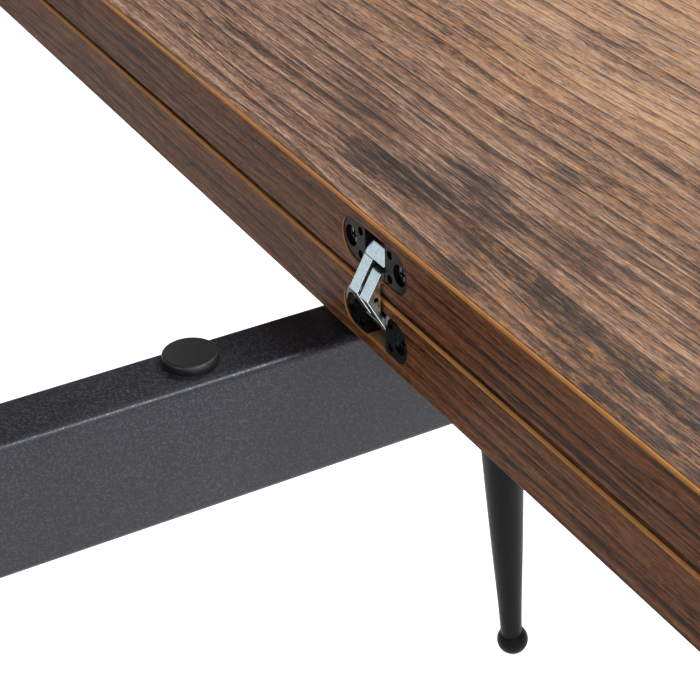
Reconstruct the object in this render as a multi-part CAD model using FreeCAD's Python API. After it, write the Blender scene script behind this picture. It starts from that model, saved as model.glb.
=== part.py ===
import FreeCAD, Part
import math
import os

from FreeCAD import Placement, Rotation, Vector

# An extending table whose top is two stacked boards on a swivelling base plate.
# The top turns a quarter turn on an offset pivot, then the upper leaf folds out
# on concealed link hinges let into the long edges of both boards.
# All lengths are in millimetres; X runs along the frame, Y along the fold, Z is up.

# Whole table
TABLE_HEIGHT = 750.0
TOP_LENGTH = 920.0
TOP_WIDTH = 600.0
FRAME_LENGTH = 800.0
FRAME_WIDTH = 510.0

# Boards
CORE_THICK = 22.0
LAMINATE_THICK = 1.0
BAND_THICK = 1.3
BOARD_CORNER_R = 6.0
BAND_ARRIS_R = 1.1
BOARD_GAP = 2.0
BUTT_GAP = 0.3
CUT_OVERRUN = 5.0

# Support pads on the rails
PAD_R = 9.8
PAD_HEIGHT = 3.7
PAD_EDGE_R = 0.8
PAD_STEM_R = 3.0
PAD_STEM_LENGTH = 5.0
PAD_CLEARANCE = 0.3
PAD_FROM_FOLD = 52.2
PAD_FROM_END = 50.0

# Frame tubes
TUBE_WIDTH = 26.0
TUBE_HEIGHT = 52.0
TUBE_WALL = 2.0
TUBE_CORNER_R = 3.0
BAR_WIDTH = 30.0
BAR_HEIGHT = 25.0
BAR_WALL = 2.0

# Swivel
PIVOT_PLATE_THICK = 3.0
PIVOT_PLATE_REACH = 73.0
PIVOT_PLATE_RAIL_GAP = 2.0
PIVOT_PLATE_CORNER_R = 5.0
BAR_SPACING = 160.0
FLANGE_R = 45.0
FLANGE_THICK = 2.0
BOSS_R = 15.0
BOSS_CLEARANCE = 0.1
BOSS_PROUD = 0.3
STUD_R = 6.0
STUD_LENGTH = 14.0
WASHER_R = 24.0
WASHER_THICK = 2.5
NUT_ACROSS_FLATS = 19.0
NUT_HEIGHT = 10.0
SLIDE_DISC_THICK = 1.7
STOP_RADIUS = 56.0
STOP_PIN_R = 4.0
STOP_PIN_CLEARANCE = 0.5
STOP_PIN_BELOW_PLATE = 2.0
STOP_PIN_IN_BOARD = 14.0
STOP_PIN_BEARING = 315.0
SWIVEL_TRAVEL = 90.0
FLANGE_SCREW_CIRCLE_R = 33.0
FLANGE_SCREW_COUNT = 4
FLANGE_SCREW_R = 2.0
FLANGE_SCREW_HEAD_R = 4.0
FLANGE_SCREW_LENGTH = 16.0

# Legs
LEG_PLATE_SIZE = 86.0
LEG_PLATE_THICK = 6.0
LEG_PLATE_INSET = 2.0
LEG_PLATE_CORNER_R = 6.0
LEG_TOP_R = 23.0
LEG_NECK_R = 8.5
LEG_NECK_HEIGHT = 19.0
LEG_TOP_FROM_END = 43.0
LEG_TOP_FROM_SIDE = 30.0
LEG_SPLAY_LONG = 56.0
LEG_SPLAY_CROSS = 17.0
LEG_STUD_R = 5.0
LEG_STUD_IN_LEG = 32.0
FOOT_R = 12.5
FOOT_CENTRE_HEIGHT = 11.3
LEG_HEIGHT_SHARES = [0.0, 0.03, 0.07, 0.13, 0.225, 0.35, 0.5, 0.66, 0.82, 1.0]
LEG_SWELL_SHARES = [0.0, 0.03, 0.10, 0.22, 0.39, 0.585, 0.765, 0.90, 0.975, 1.0]

# Concealed link hinges
HINGE_FROM_END = 186.0
HINGE_LENGTH = 42.2
HINGE_WIDTH = 15.0
HINGE_RECESS = 0.5
HINGE_PLATE_THICK = 3.0
HINGE_FIT = 0.1
HINGE_CHEEK = 1.6
HINGE_SLOT_WIDTH = 12.8
HINGE_SLOT_DEPTH = 21.0
HINGE_BACK_WALL = 2.0
HINGE_SCREW_SPACING = 31.2
HINGE_SCREW_HOLE_R = 2.2
HINGE_SCREW_R = 1.75
HINGE_SCREW_HEAD_R = 3.7
HINGE_SCREW_HEAD_DEPTH = 1.6
HINGE_SCREW_SUNK = 1.2
HINGE_SCREW_WELL_FIT = 0.1
HINGE_SCREW_LENGTH = 20.0
HINGE_SCREW_TIP = 4.0
CROSS_SLOT_WIDTH = 0.9
CROSS_SLOT_LENGTH = 4.0
CROSS_SLOT_DEPTH = 1.2
DIMPLE_R = 1.6
DIMPLE_DEPTH = 1.1
DIMPLE_SPACING_LONG = 18.8
DIMPLE_SPACING_CROSS = 8.8

# Hinge links, seen from the end of the fold: distances inward from the fold
# axis and away from the plane halfway between the folded boards.
LINK_PIVOT_IN = 6.0
LINK_PIVOT_OFF = 7.4
LINK_CENTRE_OUT = 2.6
LINK_RIDGE_OUT = 5.9
LINK_FACE_REACH = 10.87
LINK_EYE_R = 1.9
LINK_PIN_R = 1.0
LINK_PIN_CLEARANCE = 0.06
CENTRE_PIN_R = 0.9
LINK_LANE_CLEARANCE = 0.3
LINK_LANE_GAP = 1.3
LINK_SHOULDER_OFF = 9.3
LINK_SHOULDER_LENGTH = 2.0
LINK_SLIDE_IN = 5.5
LINK_CAP_OFF = 16.0
LINK_CAP_HEIGHT = 1.6
LINK_CAP_THICK = 1.6
LINK_FOOT_THICK = 4.6
LINK_INNER_OUT = 0.75
LINK_INNER_TOP = 6.2
LINK_INNER_LOW = 5.2
LINK_RIDGE_R = 1.0

# Derived levels
BOARD_THICK = CORE_THICK + 2 * LAMINATE_THICK
LEAF_BOTTOM = TABLE_HEIGHT - BOARD_THICK
LOWER_TOP = LEAF_BOTTOM - BOARD_GAP
LOWER_BOTTOM = LOWER_TOP - BOARD_THICK
FOLD_Z = LOWER_TOP + BOARD_GAP / 2
FRAME_TOP = LOWER_BOTTOM - PAD_CLEARANCE - PAD_HEIGHT
FRAME_BOTTOM = FRAME_TOP - TUBE_HEIGHT
LEG_TOP = FRAME_BOTTOM - LEG_PLATE_THICK

# Derived places: the box of the resting table is centred on the origin
FOOT_X = FRAME_LENGTH / 2 - LEG_TOP_FROM_END + LEG_SPLAY_LONG
FOOT_Y = FRAME_WIDTH / 2 - LEG_TOP_FROM_SIDE + LEG_SPLAY_CROSS
FRAME_X = (FOOT_X + FOOT_R - TOP_WIDTH - BUTT_GAP / 2) / 2
FOLD_X = FRAME_X
EDGE_X = FOLD_X + BUTT_GAP / 2
TOP_CENTRE_X = EDGE_X + TOP_WIDTH / 2
PIVOT_X = FRAME_X + (TOP_CENTRE_X - FRAME_X) / 2
PIVOT_Y = (TOP_CENTRE_X - FRAME_X) / 2
HINGE_Y = TOP_LENGTH / 2 - HINGE_FROM_END
HINGE_OFF = (BOARD_GAP + BOARD_THICK) / 2
PLATE_TOP = FRAME_TOP
PLATE_BOTTOM = PLATE_TOP - PIVOT_PLATE_THICK

# Derived link motion: the pivot pair meets again when the leaf lies flat
LINK_ARM = math.hypot(LINK_PIVOT_IN + LINK_CENTRE_OUT, LINK_PIVOT_OFF)
LINK_CENTRE_DOWN = LINK_PIVOT_OFF + math.sqrt(LINK_ARM ** 2 - LINK_PIVOT_IN ** 2)
LINK_START = math.atan2(LINK_PIVOT_OFF, -LINK_CENTRE_OUT - LINK_PIVOT_IN)
LINK_END = math.atan2(LINK_PIVOT_OFF - LINK_CENTRE_DOWN, -LINK_PIVOT_IN)
LINK_TURN = LINK_END + 2 * math.pi - LINK_START
LINK_RATIO = LINK_TURN / math.pi


Z_UP = Vector(0, 0, 1)
X_IN = Vector(1, 0, 0)
Y_ALONG = Vector(0, 1, 0)
ORIGIN = Vector(0, 0, 0)


def rounded_plate(width, depth, thick, corner):
    """Plate centred on the origin, standing on z = 0, with four round corners."""
    hx = width / 2
    hy = depth / 2
    ix = hx - corner
    iy = hy - corner
    diag = corner * math.sqrt(0.5)
    edges = []
    corners = [(1, 1), (-1, 1), (-1, -1), (1, -1)]
    for index, (sx, sy) in enumerate(corners):
        along_x = Vector(sx * hx, sy * iy, 0)
        along_y = Vector(sx * ix, sy * hy, 0)
        middle = Vector(sx * (ix + diag), sy * (iy + diag), 0)
        first, last = (along_x, along_y) if index % 2 == 0 else (along_y, along_x)
        edges.append((first, middle, last))
    shapes = []
    for index, (first, middle, last) in enumerate(edges):
        shapes.append(Part.Arc(first, middle, last).toShape())
        following = edges[(index + 1) % len(edges)][0]
        shapes.append(Part.LineSegment(last, following).toShape())
    return Part.Face(Part.Wire(shapes)).extrude(Vector(0, 0, thick))


def stadium_plate(length, width, thick):
    """Round-ended plate in the YZ plane, long side along Y, thickness along X."""
    flat = length / 2 - width / 2
    half = width / 2
    edges = [
        Part.LineSegment(Vector(0, -flat, -half), Vector(0, flat, -half)).toShape(),
        Part.Arc(Vector(0, flat, -half), Vector(0, flat + half, 0), Vector(0, flat, half)).toShape(),
        Part.LineSegment(Vector(0, flat, half), Vector(0, -flat, half)).toShape(),
        Part.Arc(Vector(0, -flat, half), Vector(0, -flat - half, 0), Vector(0, -flat, -half)).toShape(),
    ]
    return Part.Face(Part.Wire(edges)).extrude(Vector(thick, 0, 0))


def centred_box(x0, x1, depth, z0, z1, y=0.0):
    """Box from x0 to x1 and z0 to z1, centred across Y on the given place."""
    return Part.makeBox(x1 - x0, depth, z1 - z0, Vector(x0, y - depth / 2, z0))


def prism(points, y0, y1):
    """Prism along Y between y0 and y1 over an outline given as (x, z) pairs."""
    vectors = [Vector(x, y0, z) for x, z in points]
    vectors.append(vectors[0])
    return Part.Face(Part.makePolygon(vectors)).extrude(Vector(0, y1 - y0, 0))


def moved(shape, x, y, z):
    """Copy of a shape moved by the given distances."""
    copy = shape.copy()
    copy.translate(Vector(x, y, z))
    return copy


def turned_over(shape):
    """Copy of a hinge piece turned half a turn about X, as it sits in the leaf."""
    copy = shape.copy()
    copy.rotate(ORIGIN, X_IN, 180)
    return copy


def at_hinges(shape):
    """One copy of a hinge piece at each hinge along the fold."""
    return [moved(shape, FOLD_X, side * HINGE_Y, FOLD_Z) for side in (-1, 1)]


def cut_all(shape, tools):
    """Shape with every tool cut from it."""
    for tool in tools:
        shape = shape.cut(tool)
    return shape


# Frame tubes
def tube(length, width, height, wall, corner):
    """Rectangular tube along X, centred across Y, with its top face at z = 0."""
    outer = rounded_plate(height, width, length, corner)
    inner = rounded_plate(height - 2 * wall, width - 2 * wall, length, max(corner - wall, wall / 4))
    body = outer.cut(inner)
    body.rotate(ORIGIN, Y_ALONG, 90)
    body.translate(Vector(-length / 2, 0, -height / 2))
    return body


def mitre_tool(length, width, height):
    """Pair of wedges that trim both ends of a tube at 45 degrees, long side at +Y."""
    wedges = []
    z0 = -height - CUT_OVERRUN
    for side in (-1, 1):
        tip = side * length / 2
        points = [
            Vector(tip + side * CUT_OVERRUN, width / 2 + CUT_OVERRUN, z0),
            Vector(tip + side * CUT_OVERRUN, -width / 2 - CUT_OVERRUN, z0),
            Vector(tip - side * (width + CUT_OVERRUN), -width / 2 - CUT_OVERRUN, z0),
        ]
        points.append(points[0])
        wedge = Part.Face(Part.makePolygon(points)).extrude(Vector(0, 0, height + 2 * CUT_OVERRUN))
        wedges.append(wedge)
    return wedges


def pad_places():
    """Distances from the frame's middle at which support pads sit on each rail."""
    outer = FRAME_LENGTH / 2 - PAD_FROM_END
    return [-outer, -PAD_FROM_FOLD, PAD_FROM_FOLD, outer]


def side_rail(side):
    """Long rail at one side of the frame, drilled for its pads."""
    rail = tube(FRAME_LENGTH, TUBE_WIDTH, TUBE_HEIGHT, TUBE_WALL, TUBE_CORNER_R)
    rail = cut_all(rail, mitre_tool(FRAME_LENGTH, TUBE_WIDTH, TUBE_HEIGHT))
    for place in pad_places():
        hole = Part.makeCylinder(PAD_STEM_R, TUBE_WALL + CUT_OVERRUN, Vector(place, 0, -TUBE_WALL))
        rail = rail.cut(hole)
    if side < 0:
        rail.rotate(ORIGIN, Z_UP, 180)
    return moved(rail, FRAME_X, side * (FRAME_WIDTH - TUBE_WIDTH) / 2, FRAME_TOP)


def end_rail(side):
    """Short rail at one end of the frame."""
    rail = tube(FRAME_WIDTH, TUBE_WIDTH, TUBE_HEIGHT, TUBE_WALL, TUBE_CORNER_R)
    rail = cut_all(rail, mitre_tool(FRAME_WIDTH, TUBE_WIDTH, TUBE_HEIGHT))
    rail.rotate(ORIGIN, Z_UP, -side * 90)
    return moved(rail, FRAME_X + side * (FRAME_LENGTH - TUBE_WIDTH) / 2, 0, FRAME_TOP)


def crossbar(side):
    """Bar between the side rails that carries the pivot plate."""
    bar = tube(FRAME_WIDTH - 2 * TUBE_WIDTH, BAR_WIDTH, BAR_HEIGHT, BAR_WALL, TUBE_CORNER_R)
    bar.rotate(ORIGIN, Z_UP, 90)
    return moved(bar, PIVOT_X + side * BAR_SPACING / 2, 0, PLATE_BOTTOM)


def support_pads():
    """Round rubber pads pressed into the rails' top faces."""
    pad = Part.makeCylinder(PAD_R, PAD_HEIGHT)
    rim = [edge for edge in pad.Edges if abs(edge.BoundBox.ZMin - PAD_HEIGHT) < PAD_EDGE_R / 4]
    pad = pad.makeFillet(PAD_EDGE_R, rim)
    pad = pad.fuse(Part.makeCylinder(PAD_STEM_R, PAD_STEM_LENGTH, Vector(0, 0, -PAD_STEM_LENGTH)))
    across = (FRAME_WIDTH - TUBE_WIDTH) / 2
    places = [(x, side * across) for side in (-1, 1) for x in pad_places()]
    return [moved(pad, FRAME_X + x, y, FRAME_TOP) for x, y in places]


# Swivel
def pivot_plate():
    """Steel plate on the crossbars, with the pivot hole and the quarter-circle stop slot."""
    far_reach = FRAME_WIDTH / 2 - TUBE_WIDTH - PIVOT_PLATE_RAIL_GAP - PIVOT_Y
    depth = PIVOT_PLATE_REACH + far_reach
    plate = rounded_plate(BAR_SPACING + BAR_WIDTH, depth, PIVOT_PLATE_THICK, PIVOT_PLATE_CORNER_R)
    plate = moved(plate, 0, far_reach - depth / 2, 0)
    drill = PIVOT_PLATE_THICK + 2 * CUT_OVERRUN
    plate = plate.cut(Part.makeCylinder(BOSS_R + BOSS_CLEARANCE, drill, Vector(0, 0, -CUT_OVERRUN)))
    half = STOP_PIN_R + STOP_PIN_CLEARANCE
    ring = Part.makeCylinder(STOP_RADIUS + half, drill, Vector(0, 0, -CUT_OVERRUN), Z_UP, SWIVEL_TRAVEL)
    ring = ring.cut(Part.makeCylinder(STOP_RADIUS - half, drill, Vector(0, 0, -CUT_OVERRUN)))
    ring.rotate(ORIGIN, Z_UP, STOP_PIN_BEARING - SWIVEL_TRAVEL)
    plate = plate.cut(ring)
    for bearing in (STOP_PIN_BEARING, STOP_PIN_BEARING - SWIVEL_TRAVEL):
        angle = math.radians(bearing)
        place = Vector(STOP_RADIUS * math.cos(angle), STOP_RADIUS * math.sin(angle), -CUT_OVERRUN)
        plate = plate.cut(Part.makeCylinder(half, drill, place))
    return moved(plate, PIVOT_X, PIVOT_Y, PLATE_BOTTOM)


def slide_disc():
    """Low-friction ring on the pivot plate, under the swivel flange."""
    disc = Part.makeCylinder(FLANGE_R, SLIDE_DISC_THICK)
    disc = disc.cut(Part.makeCylinder(BOSS_R + BOSS_CLEARANCE, SLIDE_DISC_THICK))
    return moved(disc, PIVOT_X, PIVOT_Y, PLATE_TOP)


def flange_screw_places():
    """Screw centres round the swivel flange."""
    places = []
    for index in range(FLANGE_SCREW_COUNT):
        angle = 2 * math.pi * (index + 0.5) / FLANGE_SCREW_COUNT
        x = PIVOT_X + FLANGE_SCREW_CIRCLE_R * math.cos(angle)
        y = PIVOT_Y + FLANGE_SCREW_CIRCLE_R * math.sin(angle)
        places.append((x, y))
    return places


def flange_screw():
    """Countersunk wood screw, head flush with z = 0, shank upward."""
    head = Part.makeCone(FLANGE_SCREW_HEAD_R, FLANGE_SCREW_R, FLANGE_THICK)
    shank = Part.makeCylinder(FLANGE_SCREW_R, FLANGE_SCREW_LENGTH - FLANGE_SCREW_R)
    tip = Part.makeCone(FLANGE_SCREW_R, 0, FLANGE_SCREW_R, Vector(0, 0, FLANGE_SCREW_LENGTH - FLANGE_SCREW_R))
    return head.fuse(shank).fuse(tip)


def swivel_flange():
    """Turned flange under the lower board, with its bearing boss and threaded stud."""
    boss_bottom = PLATE_BOTTOM - BOSS_PROUD
    flange_bottom = LOWER_BOTTOM - FLANGE_THICK
    flange = Part.makeCylinder(FLANGE_R, FLANGE_THICK, Vector(PIVOT_X, PIVOT_Y, flange_bottom))
    boss_height = flange_bottom - boss_bottom
    boss = Part.makeCylinder(BOSS_R, boss_height, Vector(PIVOT_X, PIVOT_Y, boss_bottom))
    stud = Part.makeCylinder(STUD_R, STUD_LENGTH, Vector(PIVOT_X, PIVOT_Y, boss_bottom - STUD_LENGTH))
    body = flange.fuse(boss).fuse(stud)
    cutter = flange_screw()
    for x, y in flange_screw_places():
        body = body.cut(moved(cutter, x, y, flange_bottom))
    return body


def flange_screws():
    """Screws that hold the swivel flange to the lower board."""
    screw = flange_screw()
    flange_bottom = LOWER_BOTTOM - FLANGE_THICK
    return [moved(screw, x, y, flange_bottom) for x, y in flange_screw_places()]


def swivel_washer():
    """Wide washer that keeps the boss from lifting out of the plate."""
    top = PLATE_BOTTOM - BOSS_PROUD
    washer = Part.makeCylinder(WASHER_R, WASHER_THICK)
    washer = washer.cut(Part.makeCylinder(STUD_R, WASHER_THICK))
    return moved(washer, PIVOT_X, PIVOT_Y, top - WASHER_THICK)


def swivel_nut():
    """Hexagon nut on the stud."""
    radius = NUT_ACROSS_FLATS / math.sqrt(3)
    points = []
    for index in range(7):
        angle = math.radians(60 * index)
        points.append(Vector(radius * math.cos(angle), radius * math.sin(angle), 0))
    nut = Part.Face(Part.makePolygon(points)).extrude(Vector(0, 0, NUT_HEIGHT))
    nut = nut.cut(Part.makeCylinder(STUD_R, NUT_HEIGHT))
    top = PLATE_BOTTOM - BOSS_PROUD - WASHER_THICK
    return moved(nut, PIVOT_X, PIVOT_Y, top - NUT_HEIGHT)


def stop_pin():
    """Pin in the lower board that runs in the plate's slot."""
    bottom = PLATE_BOTTOM - STOP_PIN_BELOW_PLATE
    angle = math.radians(STOP_PIN_BEARING)
    x = PIVOT_X + STOP_RADIUS * math.cos(angle)
    y = PIVOT_Y + STOP_RADIUS * math.sin(angle)
    height = LOWER_BOTTOM + STOP_PIN_IN_BOARD - bottom
    return Part.makeCylinder(STOP_PIN_R, height, Vector(x, y, bottom))


# Legs
def leg_places():
    """Side signs of the four legs, near ones first."""
    return {
        "near_left": (-1, -1),
        "near_right": (1, -1),
        "far_left": (-1, 1),
        "far_right": (1, 1),
    }


def leg_axis(sx, sy):
    """Top centre, foot centre on the floor, and unit direction of one leg's axis."""
    top = Vector(
        FRAME_X + sx * (FRAME_LENGTH / 2 - LEG_TOP_FROM_END),
        sy * (FRAME_WIDTH / 2 - LEG_TOP_FROM_SIDE),
        LEG_TOP,
    )
    foot = Vector(FRAME_X + sx * FOOT_X, sy * FOOT_Y, 0)
    return top, foot, (top - foot).normalize()


def leg(sx, sy):
    """Splayed turned leg with a slow taper to a thin neck, cut level at the top."""
    top, foot, direction = leg_axis(sx, sy)
    length = (top - foot).Length
    span = length - LEG_NECK_HEIGHT
    points = []
    for height, swell in zip(LEG_HEIGHT_SHARES, LEG_SWELL_SHARES):
        radius = LEG_NECK_R + (LEG_TOP_R - LEG_NECK_R) * swell
        points.append(Vector(radius, 0, LEG_NECK_HEIGHT + span * height))
    curve = Part.BSplineCurve()
    curve.interpolate(points)
    last = Vector(LEG_TOP_R, 0, length + LEG_TOP_R / 2)
    edges = [
        Part.LineSegment(Vector(0, 0, LEG_NECK_HEIGHT), points[0]).toShape(),
        curve.toShape(),
        Part.LineSegment(points[-1], last).toShape(),
        Part.LineSegment(last, Vector(0, 0, last.z)).toShape(),
        Part.LineSegment(Vector(0, 0, last.z), Vector(0, 0, LEG_NECK_HEIGHT)).toShape(),
    ]
    body = Part.Face(Part.Wire(edges)).revolve(ORIGIN, Z_UP, 360)
    body.Placement = Placement(foot, Rotation(Z_UP, direction))
    trim = Part.makeBox(4 * LEG_TOP_R, 4 * LEG_TOP_R, 2 * LEG_TOP_R)
    body = body.cut(moved(trim, top.x - 2 * LEG_TOP_R, top.y - 2 * LEG_TOP_R, LEG_TOP))
    return body.cut(leg_stud(sx, sy))


def leg_stud(sx, sy):
    """Upright threaded stud that joins a leg to its tapped plate."""
    top = leg_axis(sx, sy)[0]
    length = LEG_STUD_IN_LEG + LEG_PLATE_THICK
    return Part.makeCylinder(LEG_STUD_R, length, Vector(top.x, top.y, LEG_TOP - LEG_STUD_IN_LEG))


def leg_plate(sx, sy):
    """Tapped plate welded under one corner of the frame."""
    plate = rounded_plate(LEG_PLATE_SIZE, LEG_PLATE_SIZE, LEG_PLATE_THICK, LEG_PLATE_CORNER_R)
    x = FRAME_X + sx * (FRAME_LENGTH / 2 - LEG_PLATE_INSET - LEG_PLATE_SIZE / 2)
    y = sy * (FRAME_WIDTH / 2 - LEG_PLATE_INSET - LEG_PLATE_SIZE / 2)
    return moved(plate, x, y, LEG_TOP).cut(leg_stud(sx, sy))


def leg_foot(sx, sy):
    """Ball foot on the leg's neck, flat where it meets the floor."""
    foot = leg_axis(sx, sy)[1]
    ball = Part.makeSphere(FOOT_R, Vector(foot.x, foot.y, FOOT_CENTRE_HEIGHT))
    below = Part.makeBox(4 * FOOT_R, 4 * FOOT_R, 2 * FOOT_R)
    ball = ball.cut(moved(below, foot.x - 2 * FOOT_R, foot.y - 2 * FOOT_R, -2 * FOOT_R))
    return ball.cut(leg(sx, sy))


# Concealed hinges, drawn as they sit in the lower board about the fold axis
def hinge_screw_places():
    """Distances of the two screws from the hinge's middle."""
    return [-HINGE_SCREW_SPACING / 2, HINGE_SCREW_SPACING / 2]


def hinge_screw():
    """Countersunk hinge screw along X, with its cross slot and pointed tip."""
    taper = HINGE_SCREW_LENGTH - HINGE_SCREW_TIP
    head = Part.makeCone(HINGE_SCREW_HEAD_R, HINGE_SCREW_R, HINGE_SCREW_HEAD_DEPTH, ORIGIN, X_IN)
    shank = Part.makeCylinder(HINGE_SCREW_R, taper, ORIGIN, X_IN)
    tip = Part.makeCone(HINGE_SCREW_R, 0, HINGE_SCREW_TIP, Vector(taper, 0, 0), X_IN)
    return head.fuse(shank).fuse(tip)


def hinge_screw_with_slot():
    """Hinge screw with the cross slot cut in its head."""
    screw = hinge_screw()
    half = CROSS_SLOT_WIDTH / 2
    long_way = centred_box(-CUT_OVERRUN, CROSS_SLOT_DEPTH, CROSS_SLOT_LENGTH, -half, half)
    reach = CROSS_SLOT_LENGTH / 2
    short_way = centred_box(-CUT_OVERRUN, CROSS_SLOT_DEPTH, CROSS_SLOT_WIDTH, -reach, reach)
    return screw.cut(long_way).cut(short_way)


def hinge_face():
    """Depth of the hinge plate's face from the fold axis."""
    return BUTT_GAP / 2 + HINGE_RECESS


def screw_face():
    """Depth of the sunk screw heads from the fold axis."""
    return hinge_face() + HINGE_SCREW_SUNK


def hinge_pocket():
    """Routed pocket for one hinge: a round-ended recess and the deep middle."""
    fit = 2 * HINGE_FIT
    depth = hinge_face() + HINGE_PLATE_THICK + CUT_OVERRUN
    recess = stadium_plate(HINGE_LENGTH + fit, HINGE_WIDTH + fit, depth)
    recess = moved(recess, -CUT_OVERRUN, 0, -HINGE_OFF)
    half = HINGE_WIDTH / 2 + HINGE_FIT
    width = HINGE_SLOT_WIDTH + 2 * HINGE_CHEEK + fit
    bottom = HINGE_SLOT_DEPTH + HINGE_BACK_WALL + HINGE_FIT
    deep = centred_box(-CUT_OVERRUN, bottom, width, -HINGE_OFF - half, -HINGE_OFF + half)
    return recess.fuse(deep)


def hinge_body():
    """Die-cast hinge body: screw plate, two cheeks and a back wall round the link slot."""
    half = HINGE_WIDTH / 2
    plate = moved(stadium_plate(HINGE_LENGTH, HINGE_WIDTH, HINGE_PLATE_THICK), hinge_face(), 0, -HINGE_OFF)
    width = HINGE_SLOT_WIDTH + 2 * HINGE_CHEEK
    back = HINGE_SLOT_DEPTH + HINGE_BACK_WALL
    body = plate.fuse(centred_box(hinge_face(), back, width, -HINGE_OFF - half, -HINGE_OFF + half))
    low = -HINGE_OFF - half - CUT_OVERRUN
    high = -HINGE_OFF + half + CUT_OVERRUN
    body = body.cut(centred_box(-CUT_OVERRUN, HINGE_SLOT_DEPTH, HINGE_SLOT_WIDTH, low, high))
    screw = hinge_screw()
    hole = Part.makeCylinder(HINGE_SCREW_HOLE_R, HINGE_PLATE_THICK, ORIGIN, X_IN)
    well = Part.makeCylinder(HINGE_SCREW_HEAD_R + HINGE_SCREW_WELL_FIT, HINGE_SCREW_SUNK, ORIGIN, X_IN)
    for y in hinge_screw_places():
        body = body.cut(moved(well, hinge_face(), y, -HINGE_OFF))
        body = body.cut(moved(screw, screw_face(), y, -HINGE_OFF))
        body = body.cut(moved(hole, hinge_face(), y, -HINGE_OFF))
    dimple = Part.makeCylinder(DIMPLE_R, DIMPLE_DEPTH, ORIGIN, X_IN)
    for sy in (-1, 1):
        for sz in (-1, 1):
            y = sy * DIMPLE_SPACING_LONG / 2
            z = -HINGE_OFF + sz * DIMPLE_SPACING_CROSS / 2
            body = body.cut(moved(dimple, hinge_face(), y, z))
    return body.cut(pivot_pin())


def pivot_pin():
    """Fixed pin in one cheek, through the eye of the link."""
    start = LINK_LANE_GAP / 2
    length = HINGE_SLOT_WIDTH / 2 + HINGE_CHEEK - start
    return Part.makeCylinder(LINK_PIN_R, length, Vector(LINK_PIVOT_IN, start, -LINK_PIVOT_OFF), Y_ALONG)


def centre_pin():
    """Pin at the middle of a link, where the two links of a pair cross."""
    start = LINK_LANE_GAP / 2
    length = HINGE_SLOT_WIDTH / 2 - LINK_LANE_CLEARANCE - start
    return Part.makeCylinder(CENTRE_PIN_R, length, Vector(-LINK_CENTRE_OUT, start, 0), Y_ALONG)


def link_face(off):
    """Place of the link's outer face at a distance from the middle plane."""
    return -LINK_RIDGE_OUT * (1 - abs(off) / LINK_FACE_REACH)


def link():
    """Bent link of the lower board, with its eye, its ridge and its full-width cap."""
    near = LINK_LANE_GAP / 2
    far = HINGE_SLOT_WIDTH / 2 - LINK_LANE_CLEARANCE
    low = -LINK_SHOULDER_OFF
    eye_top = -LINK_PIVOT_OFF + LINK_EYE_R
    shoulder_end = link_face(low) + LINK_SHOULDER_LENGTH
    outline = [
        (LINK_PIVOT_IN, eye_top),
        (LINK_PIVOT_IN, -LINK_PIVOT_OFF - LINK_EYE_R),
        (shoulder_end, low),
        (link_face(low), low),
        (-LINK_RIDGE_OUT, 0),
        (link_face(LINK_CAP_OFF), LINK_CAP_OFF),
        (LINK_SLIDE_IN, LINK_CAP_OFF),
        (LINK_SLIDE_IN, LINK_CAP_OFF - LINK_FOOT_THICK),
        (LINK_SLIDE_IN / 2, LINK_CAP_OFF - LINK_FOOT_THICK),
        (-LINK_INNER_OUT, LINK_INNER_TOP),
        (-LINK_INNER_OUT, -LINK_INNER_LOW),
        (0, eye_top),
    ]
    body = prism(outline, near, far)
    limit = LINK_RIDGE_R / 4
    ridge = [edge for edge in body.Edges
             if edge.BoundBox.YLength > far - near - limit
             and abs(edge.BoundBox.XMin + LINK_RIDGE_OUT) < limit]
    body = body.makeFillet(LINK_RIDGE_R, ridge)
    eye = Part.makeCylinder(LINK_EYE_R, far - near, Vector(LINK_PIVOT_IN, near, -LINK_PIVOT_OFF), Y_ALONG)
    body = body.fuse(eye)
    cap_low = LINK_CAP_OFF - LINK_CAP_HEIGHT
    cap = [
        (link_face(LINK_CAP_OFF), LINK_CAP_OFF),
        (link_face(LINK_CAP_OFF) + LINK_CAP_THICK, LINK_CAP_OFF),
        (link_face(cap_low) + LINK_CAP_THICK, cap_low),
        (link_face(cap_low), cap_low),
    ]
    body = body.fuse(prism(cap, -far, near)).removeSplitter()
    hole = LINK_PIN_R + LINK_PIN_CLEARANCE
    reach = far + CUT_OVERRUN
    body = body.cut(Part.makeCylinder(hole, reach, Vector(LINK_PIVOT_IN, 0, -LINK_PIVOT_OFF), Y_ALONG))
    return body.cut(centre_pin())


# Boards
def board_blank(inset, thick):
    """Flat board set in by a margin on every side, standing on z = 0."""
    return rounded_plate(TOP_WIDTH - 2 * inset, TOP_LENGTH - 2 * inset, thick, BOARD_CORNER_R - inset)


def board_cutters(leaf):
    """Everything that is routed or drilled out of one board."""
    pocket = hinge_pocket()
    screw = moved(hinge_screw(), screw_face(), 0, -HINGE_OFF)
    tools = [pocket]
    tools += [moved(screw, 0, y, 0) for y in hinge_screw_places()]
    if leaf:
        tools = [turned_over(tool) for tool in tools]
    placed = []
    for tool in tools:
        placed += at_hinges(tool)
    if not leaf:
        placed += flange_screws()
        placed.append(stop_pin())
    return placed


def board_core(bottom, leaf):
    """Board core between its laminates and inside its edge band."""
    core = moved(board_blank(BAND_THICK, CORE_THICK), TOP_CENTRE_X, 0, bottom + LAMINATE_THICK)
    return cut_all(core, board_cutters(leaf))


def board_band(bottom, leaf):
    """Edge band all round one board, with softened arrises."""
    outer = board_blank(0, BOARD_THICK)
    limit = BAND_ARRIS_R / 4
    rims = [edge for edge in outer.Edges
            if edge.BoundBox.ZLength < limit]
    outer = outer.makeFillet(BAND_ARRIS_R, rims)
    band = outer.cut(board_blank(BAND_THICK, BOARD_THICK))
    band = moved(band, TOP_CENTRE_X, 0, bottom)
    return cut_all(band, board_cutters(leaf))


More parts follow.
